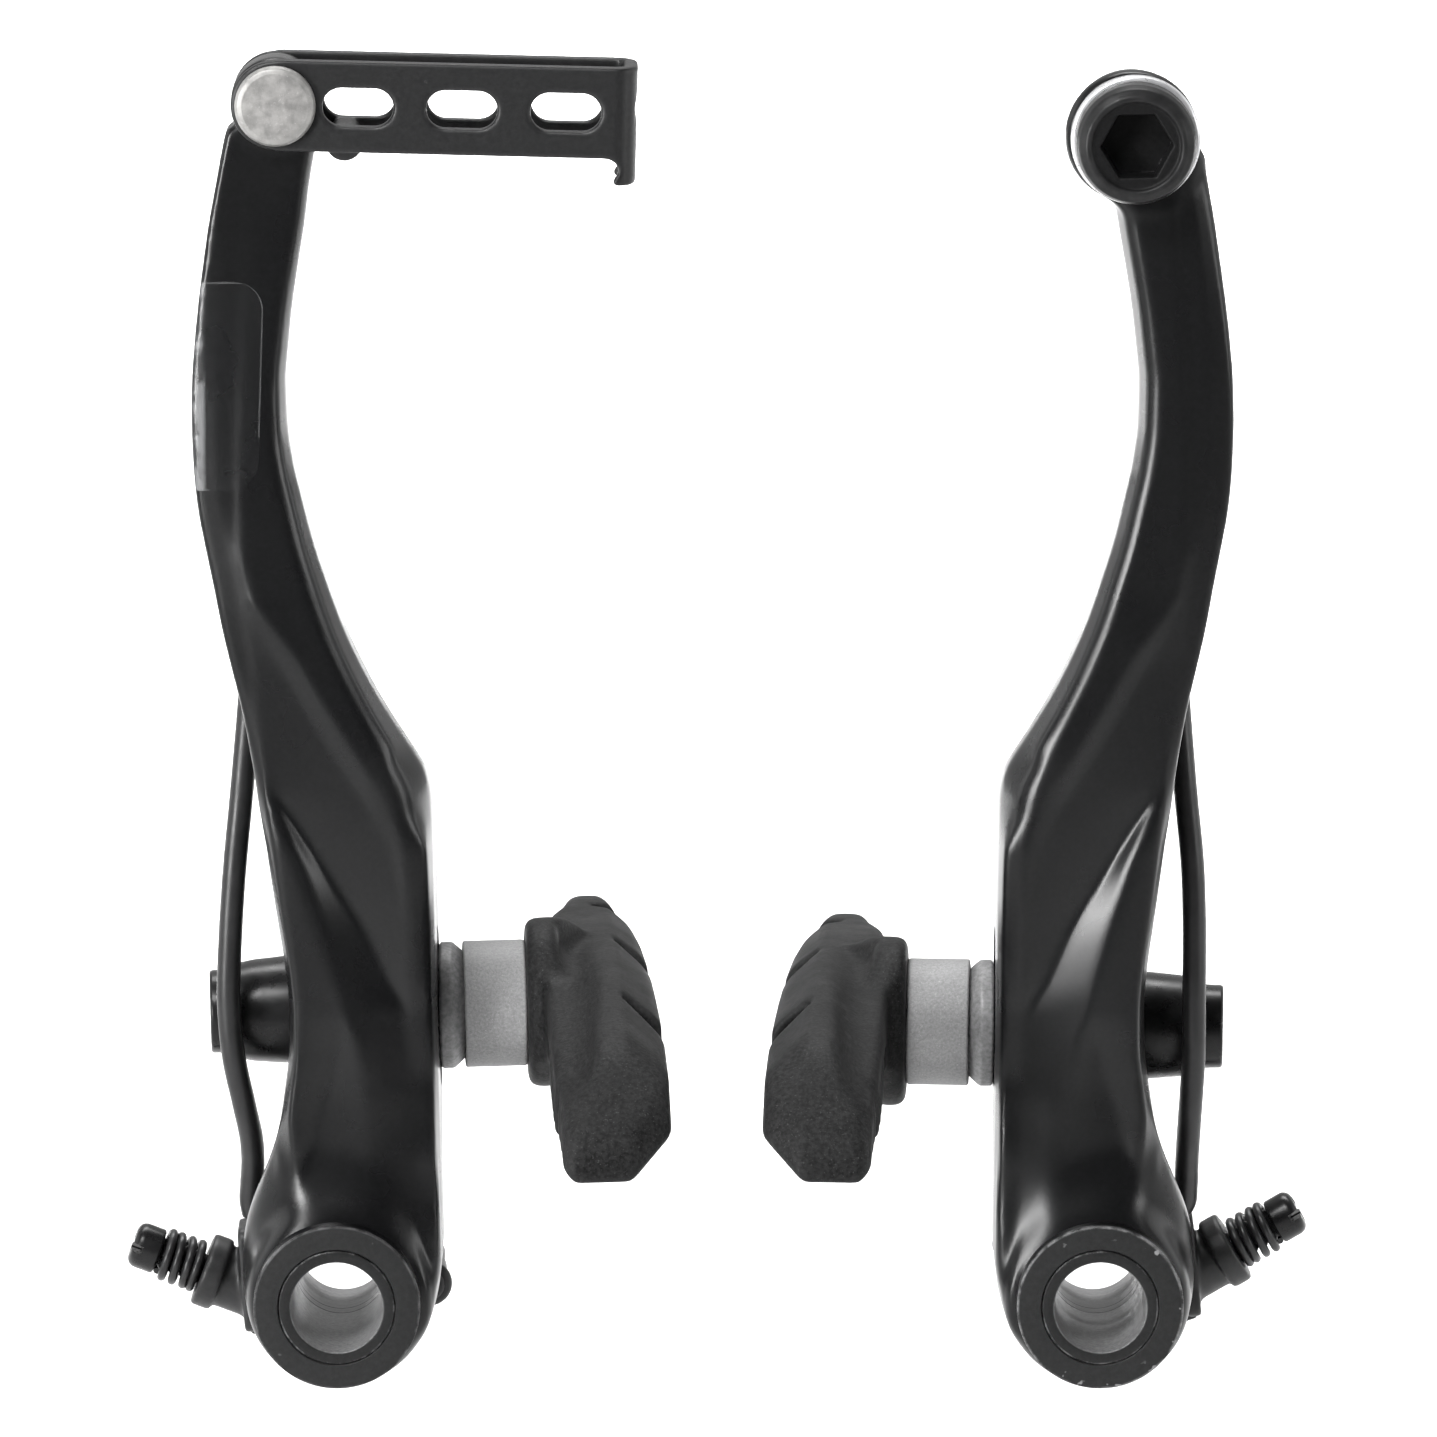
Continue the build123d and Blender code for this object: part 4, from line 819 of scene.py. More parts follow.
# ------------------------------------------------------------------ mounts: bushes, holders, collars, pins, screws, springs
def holder_field(side):
    h = 0.17
    ex, ez = STOP[side]
    lo, (ax, ay, az) = grid((-14.2, -10.0, -8.4), (10.6, -2.0, 6.6), h)
    X, Y, Z = ax[:, None, None], ay[None, :, None], az[None, None, :]

    def slab(y0, y1):
        return np.maximum(y0 - Y, Y - y1)

    hub = smax(np.sqrt(X**2 + Z**2) - 5.7, slab(Y_BUSH_REAR, Y_HUB_REAR), 0.2)
    X2d, Z2d = np.meshgrid(ax, az, indexing="ij")
    outline = [(-8.3, 3.6), (-3, 5.4), (3, 5.2), (ex - 0.4, ez + 2.1), (ex - 0.4, ez - 2.1), (3, -5.4), (-3, -6.2), (-6.0, -6.6), (-8.6, -6.0)]
    plate = smax(polygon_distance(outline, X2d, Z2d)[:, None, :], slab(Y_HUB_REAR - 1.6, Y_HUB_REAR), 0.25)
    ear = smax(np.sqrt((X - ex) ** 2 + (Z - ez) ** 2) - 2.1, slab(Y_HUB_REAR - 1.6, Y_HUB_REAR), 0.9)
    flange = smax(np.abs(X + 8.35) - 0.65, smax(np.abs(Y + 6.0) - 3.1, np.abs(Z + 0.75) - 4.75, 1.4), 0.3)
    dx, dy, dz = X - SCREW_P[0], Y - SCREW_P[1], Z - SCREW_P[2]
    s = dx * SCREW_U[0] + dz * SCREW_U[2]
    rad = np.sqrt(np.maximum(dx**2 + dy**2 + dz**2 - s**2, 0))
    collar = smax(rad - 3.3, np.maximum(1.95 - s, s - 3.8), 0.35)
    neck = np.maximum(smax(rad - 2.75, np.maximum(-3.0 - s, s - 2.6), 0.2), X + 7.7)
    f = smin(smin(hub, plate, 0.5), ear, 0.4)
    f = smin(f, flange, 0.35)
    f = smin(f, smin(collar, neck, 0.35), 0.5)
    f = blur(f, 0.10 / h)
    f = smax(f, -np.maximum(rad - (SCREW_R + 0.06), -2.3 - s), 0.2)
    return f, lo, h


def screw_place(side):
    e1 = np.array([0.0, 1.0, 0.0])
    e2 = np.cross(SCREW_U, e1)

    def put(p):
        p = np.asarray(p, float).reshape(-1, 3)
        return row(SCREW_P + p[:, :1] * SCREW_U + p[:, 1:2] * e1 + p[:, 2:3] * e2, side, "holder")
    return put


def make_thread(name, place):
    """Threaded shank as a fine grid whose radius follows the thread."""
    s0, s1, pitch, seg = 0.4, 8.05, 0.5, 48
    n = int((s1 - s0) / 0.05)
    s = np.linspace(s0, s1, n)
    t = 2 * math.pi * np.arange(seg) / seg
    S, T = np.meshgrid(s, t, indexing="ij")
    saw = np.abs(((S / pitch - T / (2 * math.pi)) % 1.0) * 2 - 1)
    R = SCREW_R - 0.24 * np.clip(saw * 1.2 - 0.1, 0, 1)
    verts = np.stack([S, R * np.cos(T), R * np.sin(T)], 2).reshape(-1, 3)
    verts = np.concatenate([verts, [[s0, 0, 0], [s1, 0, 0]]])
    faces = []
    for i in range(n - 1):
        for k in range(seg):
            l = (k + 1) % seg
            faces.append((i * seg + k, i * seg + l, (i + 1) * seg + l, (i + 1) * seg + k))
    a, b = n * seg, n * seg + 1
    for k in range(seg):
        l = (k + 1) % seg
        faces.append((a, l, k))
        faces.append((b, (n - 1) * seg + k, (n - 1) * seg + l))
    ob = new_object(name, place(verts), faces)
    fix_normals(ob)
    return ob


def spring_line(side):
    pts = SPRING_L if side == "left" else SPRING_R
    foot = []
    for x, y, z in pts[:3]:
        a, b = turned(x, z, TURN[side])
        foot.append((a, y, b))
    return smooth_line(foot + list(pts[3:]), 260)


for side in ("left", "right"):
    mount, fput = f"{side}_mount", (lambda p, s=side: row(p, s, "frame"))
    hput = lambda p, s=side: row(p, s, "holder")
    ob = turn_body(f"{side}_pivot_bush", rounded([(Y_FRONT, BORE_R), (Y_FRONT, BUSH_R), (Y_BUSH_REAR, BUSH_R), (Y_BUSH_REAR, BORE_R)], [0.22, 0.12, 0.1, 0.06], 5), "y", fput, 160, True)
    smooth_by_angle(ob, 32)
    PIECES[f"{side}_bush"] = settle(ob, mount, "bush_steel", f"{side}_bush")
    ob = turn_body(f"{side}_back_collar", rounded([(Y_HUB_REAR, BORE_R), (Y_HUB_REAR, 5.7), (0, 5.7), (0, BORE_R)], [0.06, 0.3, 0.3, 0.2], 5), "y", fput, 160, True)
    smooth_by_angle(ob, 32)
    PIECES[f"{side}_collar"] = settle(ob, mount, "bracket_steel", f"{side}_rear_collar")
    f, lo, h = holder_field(side)
    ob = field_object(f"{side}_holder_stamping", f, lo, h, hput, side == "right")
    boolean(ob, turn_body("bore", [(-20, 0), (-20, BORE_R), (5, BORE_R), (5, 0)], "y", hput, 160))
    smooth_by_angle(ob, 45)
    PIECES[f"{side}_holder"] = settle(ob, mount, "bracket_steel", f"{side}_spring_holder")
    ex, ez = STOP[side]
    ob = turn_body(f"{side}_key_pin", rounded([(-7.1, 0), (-7.0, 1.3), (-6.6, 1.5), (0.2, 1.5), (0.2, 1.25), (6.0, 1.25), (6.0, 0)], [0, 0.5, 0.3, 0.12, 0, 0.35, 0], 5, False), "y",
                   lambda p, c=np.array([ex, 0, ez]), s=side: row(p + c, s, "holder"), 48)
    smooth_by_angle(ob, 35)
    PIECES[f"{side}_stop"] = settle(ob, mount, "bracket_steel", f"{side}_stop_pin")
    # tension screw: dog point, threaded shank, slotted head
    sput = screw_place(side)
    head = turn_body("head", rounded([(7.9, 0), (7.9, 2.05), (10.4, 2.05), (10.4, 0)], [0, 0.25, 0.85, 0], 8, False), "x", sput, 72)
    for box in ([(-3, -0.36), (3, -0.36), (3, 0.36), (-3, 0.36)], [(-0.36, -1.3), (0.36, -1.3), (0.36, 1.3), (-0.36, 1.3)]):
        boolean(head, prism("kerf", box, 9.45, 12.0, "x", sput))
    dog = turn_body("dog", rounded([(-1.42, 0), (-1.42, 0.95), (0.5, 0.95), (0.5, 0)], [0, 0.25, 0, 0], 4, False), "x", sput, 40)
    ob = join(f"{side}_adjuster_screw", [head, dog, make_thread("thread", sput)])
    smooth_by_angle(ob, 35)
    PIECES[f"{side}_screw"] = settle(ob, f"{side}_tension_screw", "black_steel", f"{side}_tension_screw")
    # small coil spring: close turns at both ends, open ones between
    wire, mean, base, length = 0.38, 2.02, 3.86, 4.0
    turns, n = 4.1, 300
    t = np.linspace(0, turns, n)
    k = np.array([[0, 0.0], [0.75, 0.10], [3.25, 0.86], [4.1, 1.0]])
    lift = np.interp(t, k[:, 0], k[:, 1])
    lift = np.convolve(np.pad(lift, 20, mode="edge"), np.ones(41) / 41, "valid")
    lift = (lift - lift[0]) / (lift[-1] - lift[0])
    s = base + wire + lift * (length - 2 * wire)
    line = np.stack([s, mean * np.cos(2 * math.pi * t + 0.6), mean * np.sin(2 * math.pi * t + 0.6)], 1)
    prof = [(0, 0, 0), (0, 0, wire * 0.8), (1, 0, wire)] + [(i, 0, wire) for i in range(2, n - 2)] + [(n - 2, 0, wire), (n - 1, 0, wire * 0.8), (n - 1, 0, 0)]
    ob = tube(f"{side}_screw_coil", line, prof, sput, 14)
    smooth_by_angle(ob, 50)
    a, b = sput([[base, 0, 0]])[0], sput([[base + length, 0, 0]])[0]
    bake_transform(ob)
    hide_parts(f"{side}_screw_spring")
    PIECES[f"{side}_coil"] = ob
    # return spring and its sleeve
    line = spring_line(side)
    n = len(line)
    prof = [(0, -0.12, 0), (0, -0.12, 0.5), (0, 0, 0.75)] + [(i, 0, 0.75) for i in range(1, n - 1)] + [(n - 1, 0, 0.75), (n - 1, 0.12, 0.5), (n - 1, 0.12, 0)]
    wire_ob = tube(f"{side}_spring_rod", line, prof, fput, 18)
    i0, i1 = int(np.argmax(line[:, 2] > SLEEVE_Z[0])), int(np.argmax(line[:, 2] > SLEEVE_Z[1]))
    prof = [(i0, 0, 0.77), (i0, 0, 0.95)] + [(i, 0, 1.05) for i in range(i0, i1 + 1)] + [(i1, 0, 0.95), (i1, 0, 0.77)] + [(i, 0, 0.77) for i in range(i1 - 1, i0, -1)]
    prof[2] = (i0, 0.1, 1.05)
    sleeve_ob = tube(f"{side}_sleeve_tube", line, prof, fput, 20, True)
    lo_pt, hi_pt = fput([line[np.argmax(line[:, 2] > 7.0)]])[0], fput([[line[-1][0], line[-1][1], 58.0]])[0]
    for ob, slot, node in ((wire_ob, "spring_wire", "return_spring"), (sleeve_ob, "sleeve_plastic", "spring_sleeve")):
        smooth_by_angle(ob, 50)
        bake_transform(ob)
        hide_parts(f"{side}_{node}")
        PIECES[f"{side}_{node}"] = ob
    # hook for the spring's upper end, on the arm's back
    ob = turn_body(f"{side}_hook_post", rounded([(-16.5, 0), (-16.5, 0.8), (-13.0, 0.8), (-13.0, 1.0), (-10.6, 1.0), (-10.6, 1.3), (-9.8, 1.3), (-9.8, 0)], [0, 0, 0, 0.1, 0.15, 0.15, 0.25, 0], 4, False), "y",
                   lambda p, s=side: row(p + np.array([HOOK_X, 0, HOOK_Z]), s), 48)
    smooth_by_angle(ob, 35)
    PIECES[f"{side}_hook"] = settle(ob, f"{side}_arm", "bracket_steel", f"{side}_spring_hook")


# ------------------------------------------------------------------ cable link
def link_field():
    h = 0.15
    t, g, e = LINK_T, LINK_GAP / 2, LINK_LEN
    lo, (ax, ay, az) = grid((-4.8, -4.2, -7.4), (e + 1.0, 4.2, 4.8), h)
    X, Y, Z = ax[:, None, None], ay[None, :, None], az[None, None, :]

    def strap(x_end, half, r):
        qx, qy = X - (x_end - r), np.abs(Y) - (half - r)
        return np.minimum(np.maximum(qx, qy), 0) + np.sqrt(np.maximum(qx, 0) ** 2 + np.maximum(qy, 0) ** 2) - r

    shell = smax(strap(e, g + t, 2.0), -strap(e - t, g, 0.75), 0.12)
    curl = [(e - 2.9, -4.0), (e - 2.3, -4.06), (e - 1.85, -4.3), (e - 1.55, -4.7), (e - 1.48, -5.1), (e - 1.6, -5.45), (e - 1.82, -5.7), (e - 1.95, -6.0), (e - 1.85, -6.25), (e - 1.55, -6.36), (e - 0.5, -6.36), (e - 0.2, -6.3)]
    outline = [(0, 4.0), (0, -4.0)] + curl + [(e + 0.6, -6.2)] + arc((e - 0.3, 3.1), 0.9, 0, math.pi / 2, 6)
    X2d, Z2d = np.meshgrid(ax, az, indexing="ij")
    side = polygon_distance(outline, X2d, Z2d)
    side = np.minimum(side, np.sqrt(X2d**2 + Z2d**2) - LINK_END_R)
    f = smax(shell, side[:, None, :], 0.3)
    knob = smax(np.sqrt((X - 6.0) ** 2 + (Z + 3.3) ** 2) - 1.62, np.abs(Y) - (g + 0.2), 0.5)
    f = smin(f, knob, 0.2)
    for c in (7.14, 16.14, 25.14):
        slot = np.sqrt(np.maximum(np.abs(X - c) - (6.15 - 3.3) / 2, 0) ** 2 + Z**2) - 1.65
        f = smax(f, -np.broadcast_to(slot, f.shape), 0.32)
    key = np.minimum(np.sqrt(Y**2 + Z**2) - 1.95, np.maximum(np.abs(Y) - 1.1, Z))
    f = smax(f, -np.maximum(key, (e - 3.2) - X), 0.25)
    f = np.maximum(f, 2.32 - np.sqrt(X**2 + Z**2))
    return blur(f, 0.10 / h), lo, h


f, lo, h = link_field()
ob = field_object("cable_link_strap", f, lo, h, link_row)
smooth_by_angle(ob, 45)
PIECES["link"] = settle(ob, "cable_link", "link_steel", "cable_link")
g = LINK_GAP / 2 + LINK_T
prof = [(-g - 0.98, 0), (-g - 0.98, 0.5), (-g - 0.96, 1.8), (-g - 0.9, 2.9), (-g - 0.78, 3.3), (-g - 0.45, 3.52), (-g, 3.5), (-g, 2.3), (g, 2.3), (g, 3.5), (g + 0.45, 3.52), (g + 0.78, 3.3), (g + 0.9, 2.9), (g + 0.98, 1.2), (g + 0.98, 0)]
ob = turn_body("link_rivet", rounded(prof, [0, 0, 0, 0.3, 0.3, 0.2, 0, 0, 0, 0, 0.2, 0.3, 0.3, 0, 0], 4, False), "y", link_row, 128)
smooth_by_angle(ob, 32)
PIECES["pin"] = settle(ob, "cable_link", "pin_silver", "link_pin")


# ------------------------------------------------------------------ cable clamp
def clamp_place(p):
    return row(np.asarray(p, float) + np.array([EYE_R[0], 0, EYE_R[1]]), "right")


y0 = CLAMP_Y - CABLE_WASHER_T
y1 = y0 - BOLT_HEAD
ob = turn_body("clamp_washer", rounded([(y0, 3.1), (y0, 5.6), (CLAMP_Y, 5.6), (CLAMP_Y, 3.1)], [0.1, 0.32, 0.15, 0.1], 6), "y", clamp_place, 160, True)
smooth_by_angle(ob, 32)
PIECES["clamp_washer"] = settle(ob, "right_arm", "bright_plate", "cable_washer")


def bolt_field():
    h = 0.12
    lo, (ax, ay, az) = grid((-5.7, y1 - 0.5, -5.7), (5.7, y0 + 0.4, 5.7), h)
    X, Y, Z = ax[:, None, None], ay[None, :, None], az[None, None, :]
    R = np.sqrt(X**2 + Z**2) + 0 * Y
    prof = rounded([(0, y1 + 0.32), (3.72, y1 + 0.32), (3.98, y1), (4.3, y1), (4.95, y1 + 0.5), (5.22, y1 + 1.3), (5.22, y0), (0, y0)], [0, 0.12, 0.12, 0.3, 0.5, 0.5, 0.1, 0], 4)
    f = polygon_distance([(-6.0, y1 + 0.32)] + [p for p in prof if p[0] > 0] + [(-6.0, y0)], R, Y + 0 * R)
    a = math.radians(-2.0)
    hexa = np.full((len(ax), 1, len(az)), -50.0)
    for k in range(6):
        w = a + math.pi / 6 + math.pi / 3 * k
        hexa = np.maximum(hexa, X * math.cos(w) + Z * math.sin(w) - 2.72)
    deep = np.maximum(hexa, Y - (y1 + 3.1))
    return smax(f, -deep, 0.22), lo, h


f, lo, h = bolt_field()
head = field_object("head", f, lo, h, clamp_place, True)
shank = turn_body("shank", rounded([(y0 - 0.2, 0), (y0 - 0.2, 2.95), (-12.6, 2.95), (-12.6, 0)], [0, 0, 0.35, 0], 4, False), "y", clamp_place, 64)
ob = join("clamp_bolt", [head, shank])
smooth_by_angle(ob, 40)
PIECES["bolt"] = settle(ob, "right_arm", "black_steel", "cable_bolt")

# ------------------------------------------------------------------ materials
def base_material(name, color, rough, metal=0.0, spec=0.5, coat=0.0, coat_rough=0.05):
    m = bpy.data.materials.new(name)
    m.use_nodes = True
    b = m.node_tree.nodes["Principled BSDF"]
    b.inputs["Base Color"].default_value = (*color, 1)
    b.inputs["Roughness"].default_value = rough
    b.inputs["Metallic"].default_value = metal
    b.inputs["Specular IOR Level"].default_value = spec
    b.inputs["Coat Weight"].default_value = coat
    b.inputs["Coat Roughness"].default_value = coat_rough
    return m, m.node_tree, b


def coords(nt):
    return nt.nodes.new("ShaderNodeTexCoord").outputs["Object"]


def noise(nt, scale, detail=3.0, rough=0.5, stretch=None):
    t = nt.nodes.new("ShaderNodeTexNoise")
    t.inputs["Scale"].default_value = scale
    t.inputs["Detail"].default_value = detail
    t.inputs["Roughness"].default_value = rough
    c = coords(nt)
    if stretch:
        mp = nt.nodes.new("ShaderNodeMapping")
        mp.inputs["Scale"].default_value = stretch
        nt.links.new(c, mp.inputs["Vector"])
        c = mp.outputs["Vector"]
    nt.links.new(c, t.inputs["Vector"])
    return t.outputs["Fac"]


def ramp(nt, fac, lo, hi, a, b):
    m = nt.nodes.new("ShaderNodeMapRange")
    m.inputs["From Min"].default_value = lo
    m.inputs["From Max"].default_value = hi
    m.inputs["To Min"].default_value = a
    m.inputs["To Max"].default_value = b
    nt.links.new(fac, m.inputs["Value"])
    return m.outputs["Result"]


def math_node(nt, op, a, b=None, c=None):
    m = nt.nodes.new("ShaderNodeMath")
    m.operation = op
    for sock, val in zip(m.inputs, (a, b, c)):
        if val is None:
            continue
        if isinstance(val, (int, float)):
            sock.default_value = val
        else:
            nt.links.new(val, sock)
    return m.outputs["Value"]


def mix_color(nt, fac, a, b):
    m = nt.nodes.new("ShaderNodeMix")
    m.data_type = "RGBA"
    for sock, val in ((m.inputs[6], a), (m.inputs[7], b)):
        if isinstance(val, tuple):
            sock.default_value = (*val, 1)
        else:
            nt.links.new(val, sock)
    nt.links.new(fac, m.inputs[0])
    return m.outputs[2]


def blend_value(nt, fac, a, b):
    """a where fac is 0, b where it is 1; a and b are sockets or numbers."""
    d = math_node(nt, "SUBTRACT", b, a)
    return math_node(nt, "MULTIPLY_ADD", d, fac, a)


def bump(nt, height, dist, strength, bsdf, prev=None):
    b = nt.nodes.new("ShaderNodeBump")
    b.inputs["Distance"].default_value = dist
    b.inputs["Strength"].default_value = strength
    nt.links.new(height, b.inputs["Height"])
    if prev is not None:
        nt.links.new(prev, b.inputs["Normal"])
    nt.links.new(b.outputs["Normal"], bsdf.inputs["Normal"])
    return b.outputs["Normal"]


def finish_material(name, c0, c1, r0, r1, metal, scale_c, scale_b, bump_d, bump_s, spec=0.5, coat=0.0, coat_rough=0.05):
    m, nt, b = base_material(name, c0, r0, metal, spec, coat, coat_rough)
    n1 = noise(nt, scale_c, 5, 0.6)
    nt.links.new(mix_color(nt, ramp(nt, n1, 0.35, 0.65, 0, 1), c0, c1), b.inputs["Base Color"])
    n2 = noise(nt, scale_c * 1.7, 3, 0.6)
    nt.links.new(ramp(nt, n2, 0.3, 0.7, r0, r1), b.inputs["Roughness"])
    bump(nt, noise(nt, scale_b, 4, 0.65), bump_d, bump_s, b)
    return m


def radius_from(nt, cx, cz=0.0):
    """Distance in the XZ plane from an axis, and the depth, from the piece's own coordinates."""
    s = nt.nodes.new("ShaderNodeSeparateXYZ")
    nt.links.new(coords(nt), s.inputs["Vector"])
    dx = math_node(nt, "SUBTRACT", s.outputs["X"], cx)
    dz = math_node(nt, "SUBTRACT", s.outputs["Z"], cz)
    r2 = math_node(nt, "ADD", math_node(nt, "MULTIPLY", dx, dx), math_node(nt, "MULTIPLY", dz, dz))
    return math_node(nt, "SQRT", r2), s.outputs["Y"], s.outputs["Z"]


def band(nt, value, lo, hi, soft):
    """1 between lo and hi, falling to 0 over a soft border."""
    a = ramp(nt, value, lo - soft, lo + soft, 0, 1)
    b = ramp(nt, value, hi - soft, hi + soft, 1, 0)
    return math_node(nt, "MULTIPLY", a, b)


def paint_material(side):
    """Satin-gloss black paint; the turned face of the boss is bare and grey, with worn edges whose bare metal is
    painted darker on the left arm than on the right, as painted shade.
    """
    cx = (-PIVOT_HALF if side == "left" else PIVOT_HALF) * MM
    m, nt, b = base_material(f"arm_paint_{side}", (0.008, 0.008, 0.009), 0.3, 0.0, PAINT_SPEC)
    r, y, z = radius_from(nt, cx)
    face = ramp(nt, y, -0.02372, -0.02388, 0, 1)
    grain = noise(nt, 2600, 4, 0.65)
    cloud = noise(nt, 90, 4, 0.6)
    paint = mix_color(nt, ramp(nt, grain, 0.3, 0.7, 0, 1), (0.0032, 0.0033, 0.0036), (0.0056, 0.0057, 0.0062))
    bare = mix_color(nt, ramp(nt, grain, 0.35, 0.65, 0, 1), (0.0065, 0.0067, 0.0069), (0.0112, 0.0115, 0.0118))
    edge = band(nt, r, (RING_R - 0.16) * MM, (RING_R + 0.3) * MM, 0.00008)
    speck = math_node(nt, "MULTIPLY", edge, ramp(nt, noise(nt, 420, 5, 0.7), 0.42, 0.62, 0, 1))
    near = ramp(nt, y, -0.0232, -0.0238, 0, 1)
    speck = math_node(nt, "MULTIPLY", speck, near)
    dots = math_node(nt, "MULTIPLY", ramp(nt, noise(nt, 900, 2, 0.5), 0.70, 0.74, 0, 1), band(nt, r, 6.5 * MM, 7.6 * MM, 0.0004))
    worn = math_node(nt, "MAXIMUM", speck, math_node(nt, "MULTIPLY", dots, face))
    col = mix_color(nt, face, paint, bare)
    # worn flecks show bare metal; the left arm's copy is painted darker than the right's, as painted shade
    wear_with_left_shade = (0.085, 0.085, 0.087) if side == "left" else (0.20, 0.20, 0.203)
    nt.links.new(mix_color(nt, worn, col, wear_with_left_shade), b.inputs["Base Color"])
    rough = blend_value(nt, face, ramp(nt, cloud, 0.3, 0.7, PAINT_ROUGH[0], PAINT_ROUGH[1]), 0.55)
    nt.links.new(rough, b.inputs["Roughness"])
    n = bump(nt, grain, 0.00003, 0.16, b)
    bump(nt, cloud, 0.00006, 0.05, b, n)
    return m


def rubber_material():
    m, nt, b = base_material("shoe_rubber", (0.036, 0.036, 0.037), 0.6, 0.0, 0.16)
    grain = noise(nt, 2700, 4, 0.7)
    cloud = noise(nt, 160, 4, 0.6)
    g = nt.nodes.new("ShaderNodeNewGeometry")
    edge = ramp(nt, g.outputs["Pointiness"], 0.505, 0.56, 0, 1)
    base = mix_color(nt, ramp(nt, grain, 0.38, 0.62, 0, 1), (0.0014, 0.0014, 0.0015), (0.0155, 0.0156, 0.0158))
    base = mix_color(nt, ramp(nt, noise(nt, 5200, 2, 0.6), 0.63, 0.72, 0, 1), base, (0.045, 0.045, 0.0455))
    base = mix_color(nt, math_node(nt, "MULTIPLY", ramp(nt, cloud, 0.45, 0.7, 0, 0.35), 1.0), base, (0.019, 0.019, 0.0193))
    nt.links.new(mix_color(nt, math_node(nt, "MULTIPLY", edge, 0.5), base, (0.030, 0.030, 0.0304)), b.inputs["Base Color"])
    nt.links.new(ramp(nt, cloud, 0.3, 0.7, 0.5, 0.66), b.inputs["Roughness"])
    n = bump(nt, grain, 0.00007, 0.5, b)
    bump(nt, noise(nt, 500, 4, 0.6), 0.00012, 0.12, b, n)
    return m


def blasted_material():
    """Grey washer, blasted: fine bright and dark grain."""
    m, nt, b = base_material("washer_grey", (0.3, 0.3, 0.305), 0.5, 0.1, 0.4)
    grain = noise(nt, 4200, 3, 0.7)
    fine = noise(nt, 9000, 2, 0.6)
    col = mix_color(nt, ramp(nt, grain, 0.32, 0.68, 0, 1), (0.222, 0.222, 0.224), (0.338, 0.338, 0.34))
    spark = ramp(nt, fine, 0.64, 0.74, 0, 0.7)
    nt.links.new(mix_color(nt, spark, col, (0.58, 0.58, 0.584)), b.inputs["Base Color"])
    nt.links.new(ramp(nt, grain, 0.3, 0.7, 0.5, 0.68), b.inputs["Roughness"])
    bump(nt, grain, 0.00006, 0.4, b)
    return m


def pin_material():
    """Dull silver rivet head: mottled, with small dents."""
    m, nt, b = base_material("pin_silver", (0.5, 0.49, 0.475), 0.45, 0.45, 0.5)
    mott = noise(nt, 900, 5, 0.65)
    fine = noise(nt, 3800, 3, 0.6)
    dent = noise(nt, 520, 4, 0.7)
    col = mix_color(nt, ramp(nt, mott, 0.35, 0.65, 0, 1), (0.25, 0.247, 0.24), (0.35, 0.344, 0.334))
    col = mix_color(nt, ramp(nt, fine, 0.62, 0.72, 0, 0.45), col, (0.48, 0.475, 0.465))
    nt.links.new(col, b.inputs["Base Color"])
    nt.links.new(ramp(nt, mott, 0.3, 0.7, 0.36, 0.55), b.inputs["Roughness"])
    n = bump(nt, dent, 0.00012, 0.18, b)
    bump(nt, fine, 0.00004, 0.25, b, n)
    return m


def bush_material(side):
    """Dark steel bush: grey turned face, lighter bore with fine turning rings."""
    cx = (-PIVOT_HALF if side == "left" else PIVOT_HALF) * MM
    m, nt, b = base_material(f"bush_steel_{side}", (0.05, 0.05, 0.052), 0.45, 0.5, 0.5)
    r, y, z = radius_from(nt, cx)
    inside = ramp(nt, r, (BORE_R + 0.12) * MM, (BORE_R + 0.03) * MM, 0, 1)
    grain = noise(nt, 2800, 4, 0.65)
    rings = noise(nt, 900, 3, 0.6, (0.05, 1.0, 0.05))
    face = mix_color(nt, ramp(nt, grain, 0.35, 0.65, 0, 1), (0.0095, 0.0097, 0.0099), (0.0145, 0.0147, 0.015))
    wall = mix_color(nt, ramp(nt, math_node(nt, "MULTIPLY_ADD", grain, 0.6, math_node(nt, "MULTIPLY", rings, 0.4)), 0.38, 0.62, 0, 1), (0.15, 0.15, 0.152), (0.30, 0.30, 0.303))
    edge = band(nt, r, (BUSH_R - 0.14) * MM, (BUSH_R + 0.2) * MM, 0.00005)
    spk = math_node(nt, "MULTIPLY", edge, ramp(nt, noise(nt, 520, 5, 0.7), 0.5, 0.64, 0, 1))
    col = mix_color(nt, inside, face, wall)
    seam = math_node(nt, "MULTIPLY", inside, band(nt, y, -0.00945, -0.0088, 0.00006))
    col = mix_color(nt, seam, col, (0.02, 0.02, 0.0204))
    nt.links.new(mix_color(nt, spk, col, (0.14, 0.14, 0.142)), b.inputs["Base Color"])
    nt.links.new(ramp(nt, rings, 0.3, 0.7, 0.40, 0.54), b.inputs["Roughness"])
    bump(nt, grain, 0.00003, 0.2, b)
    return m


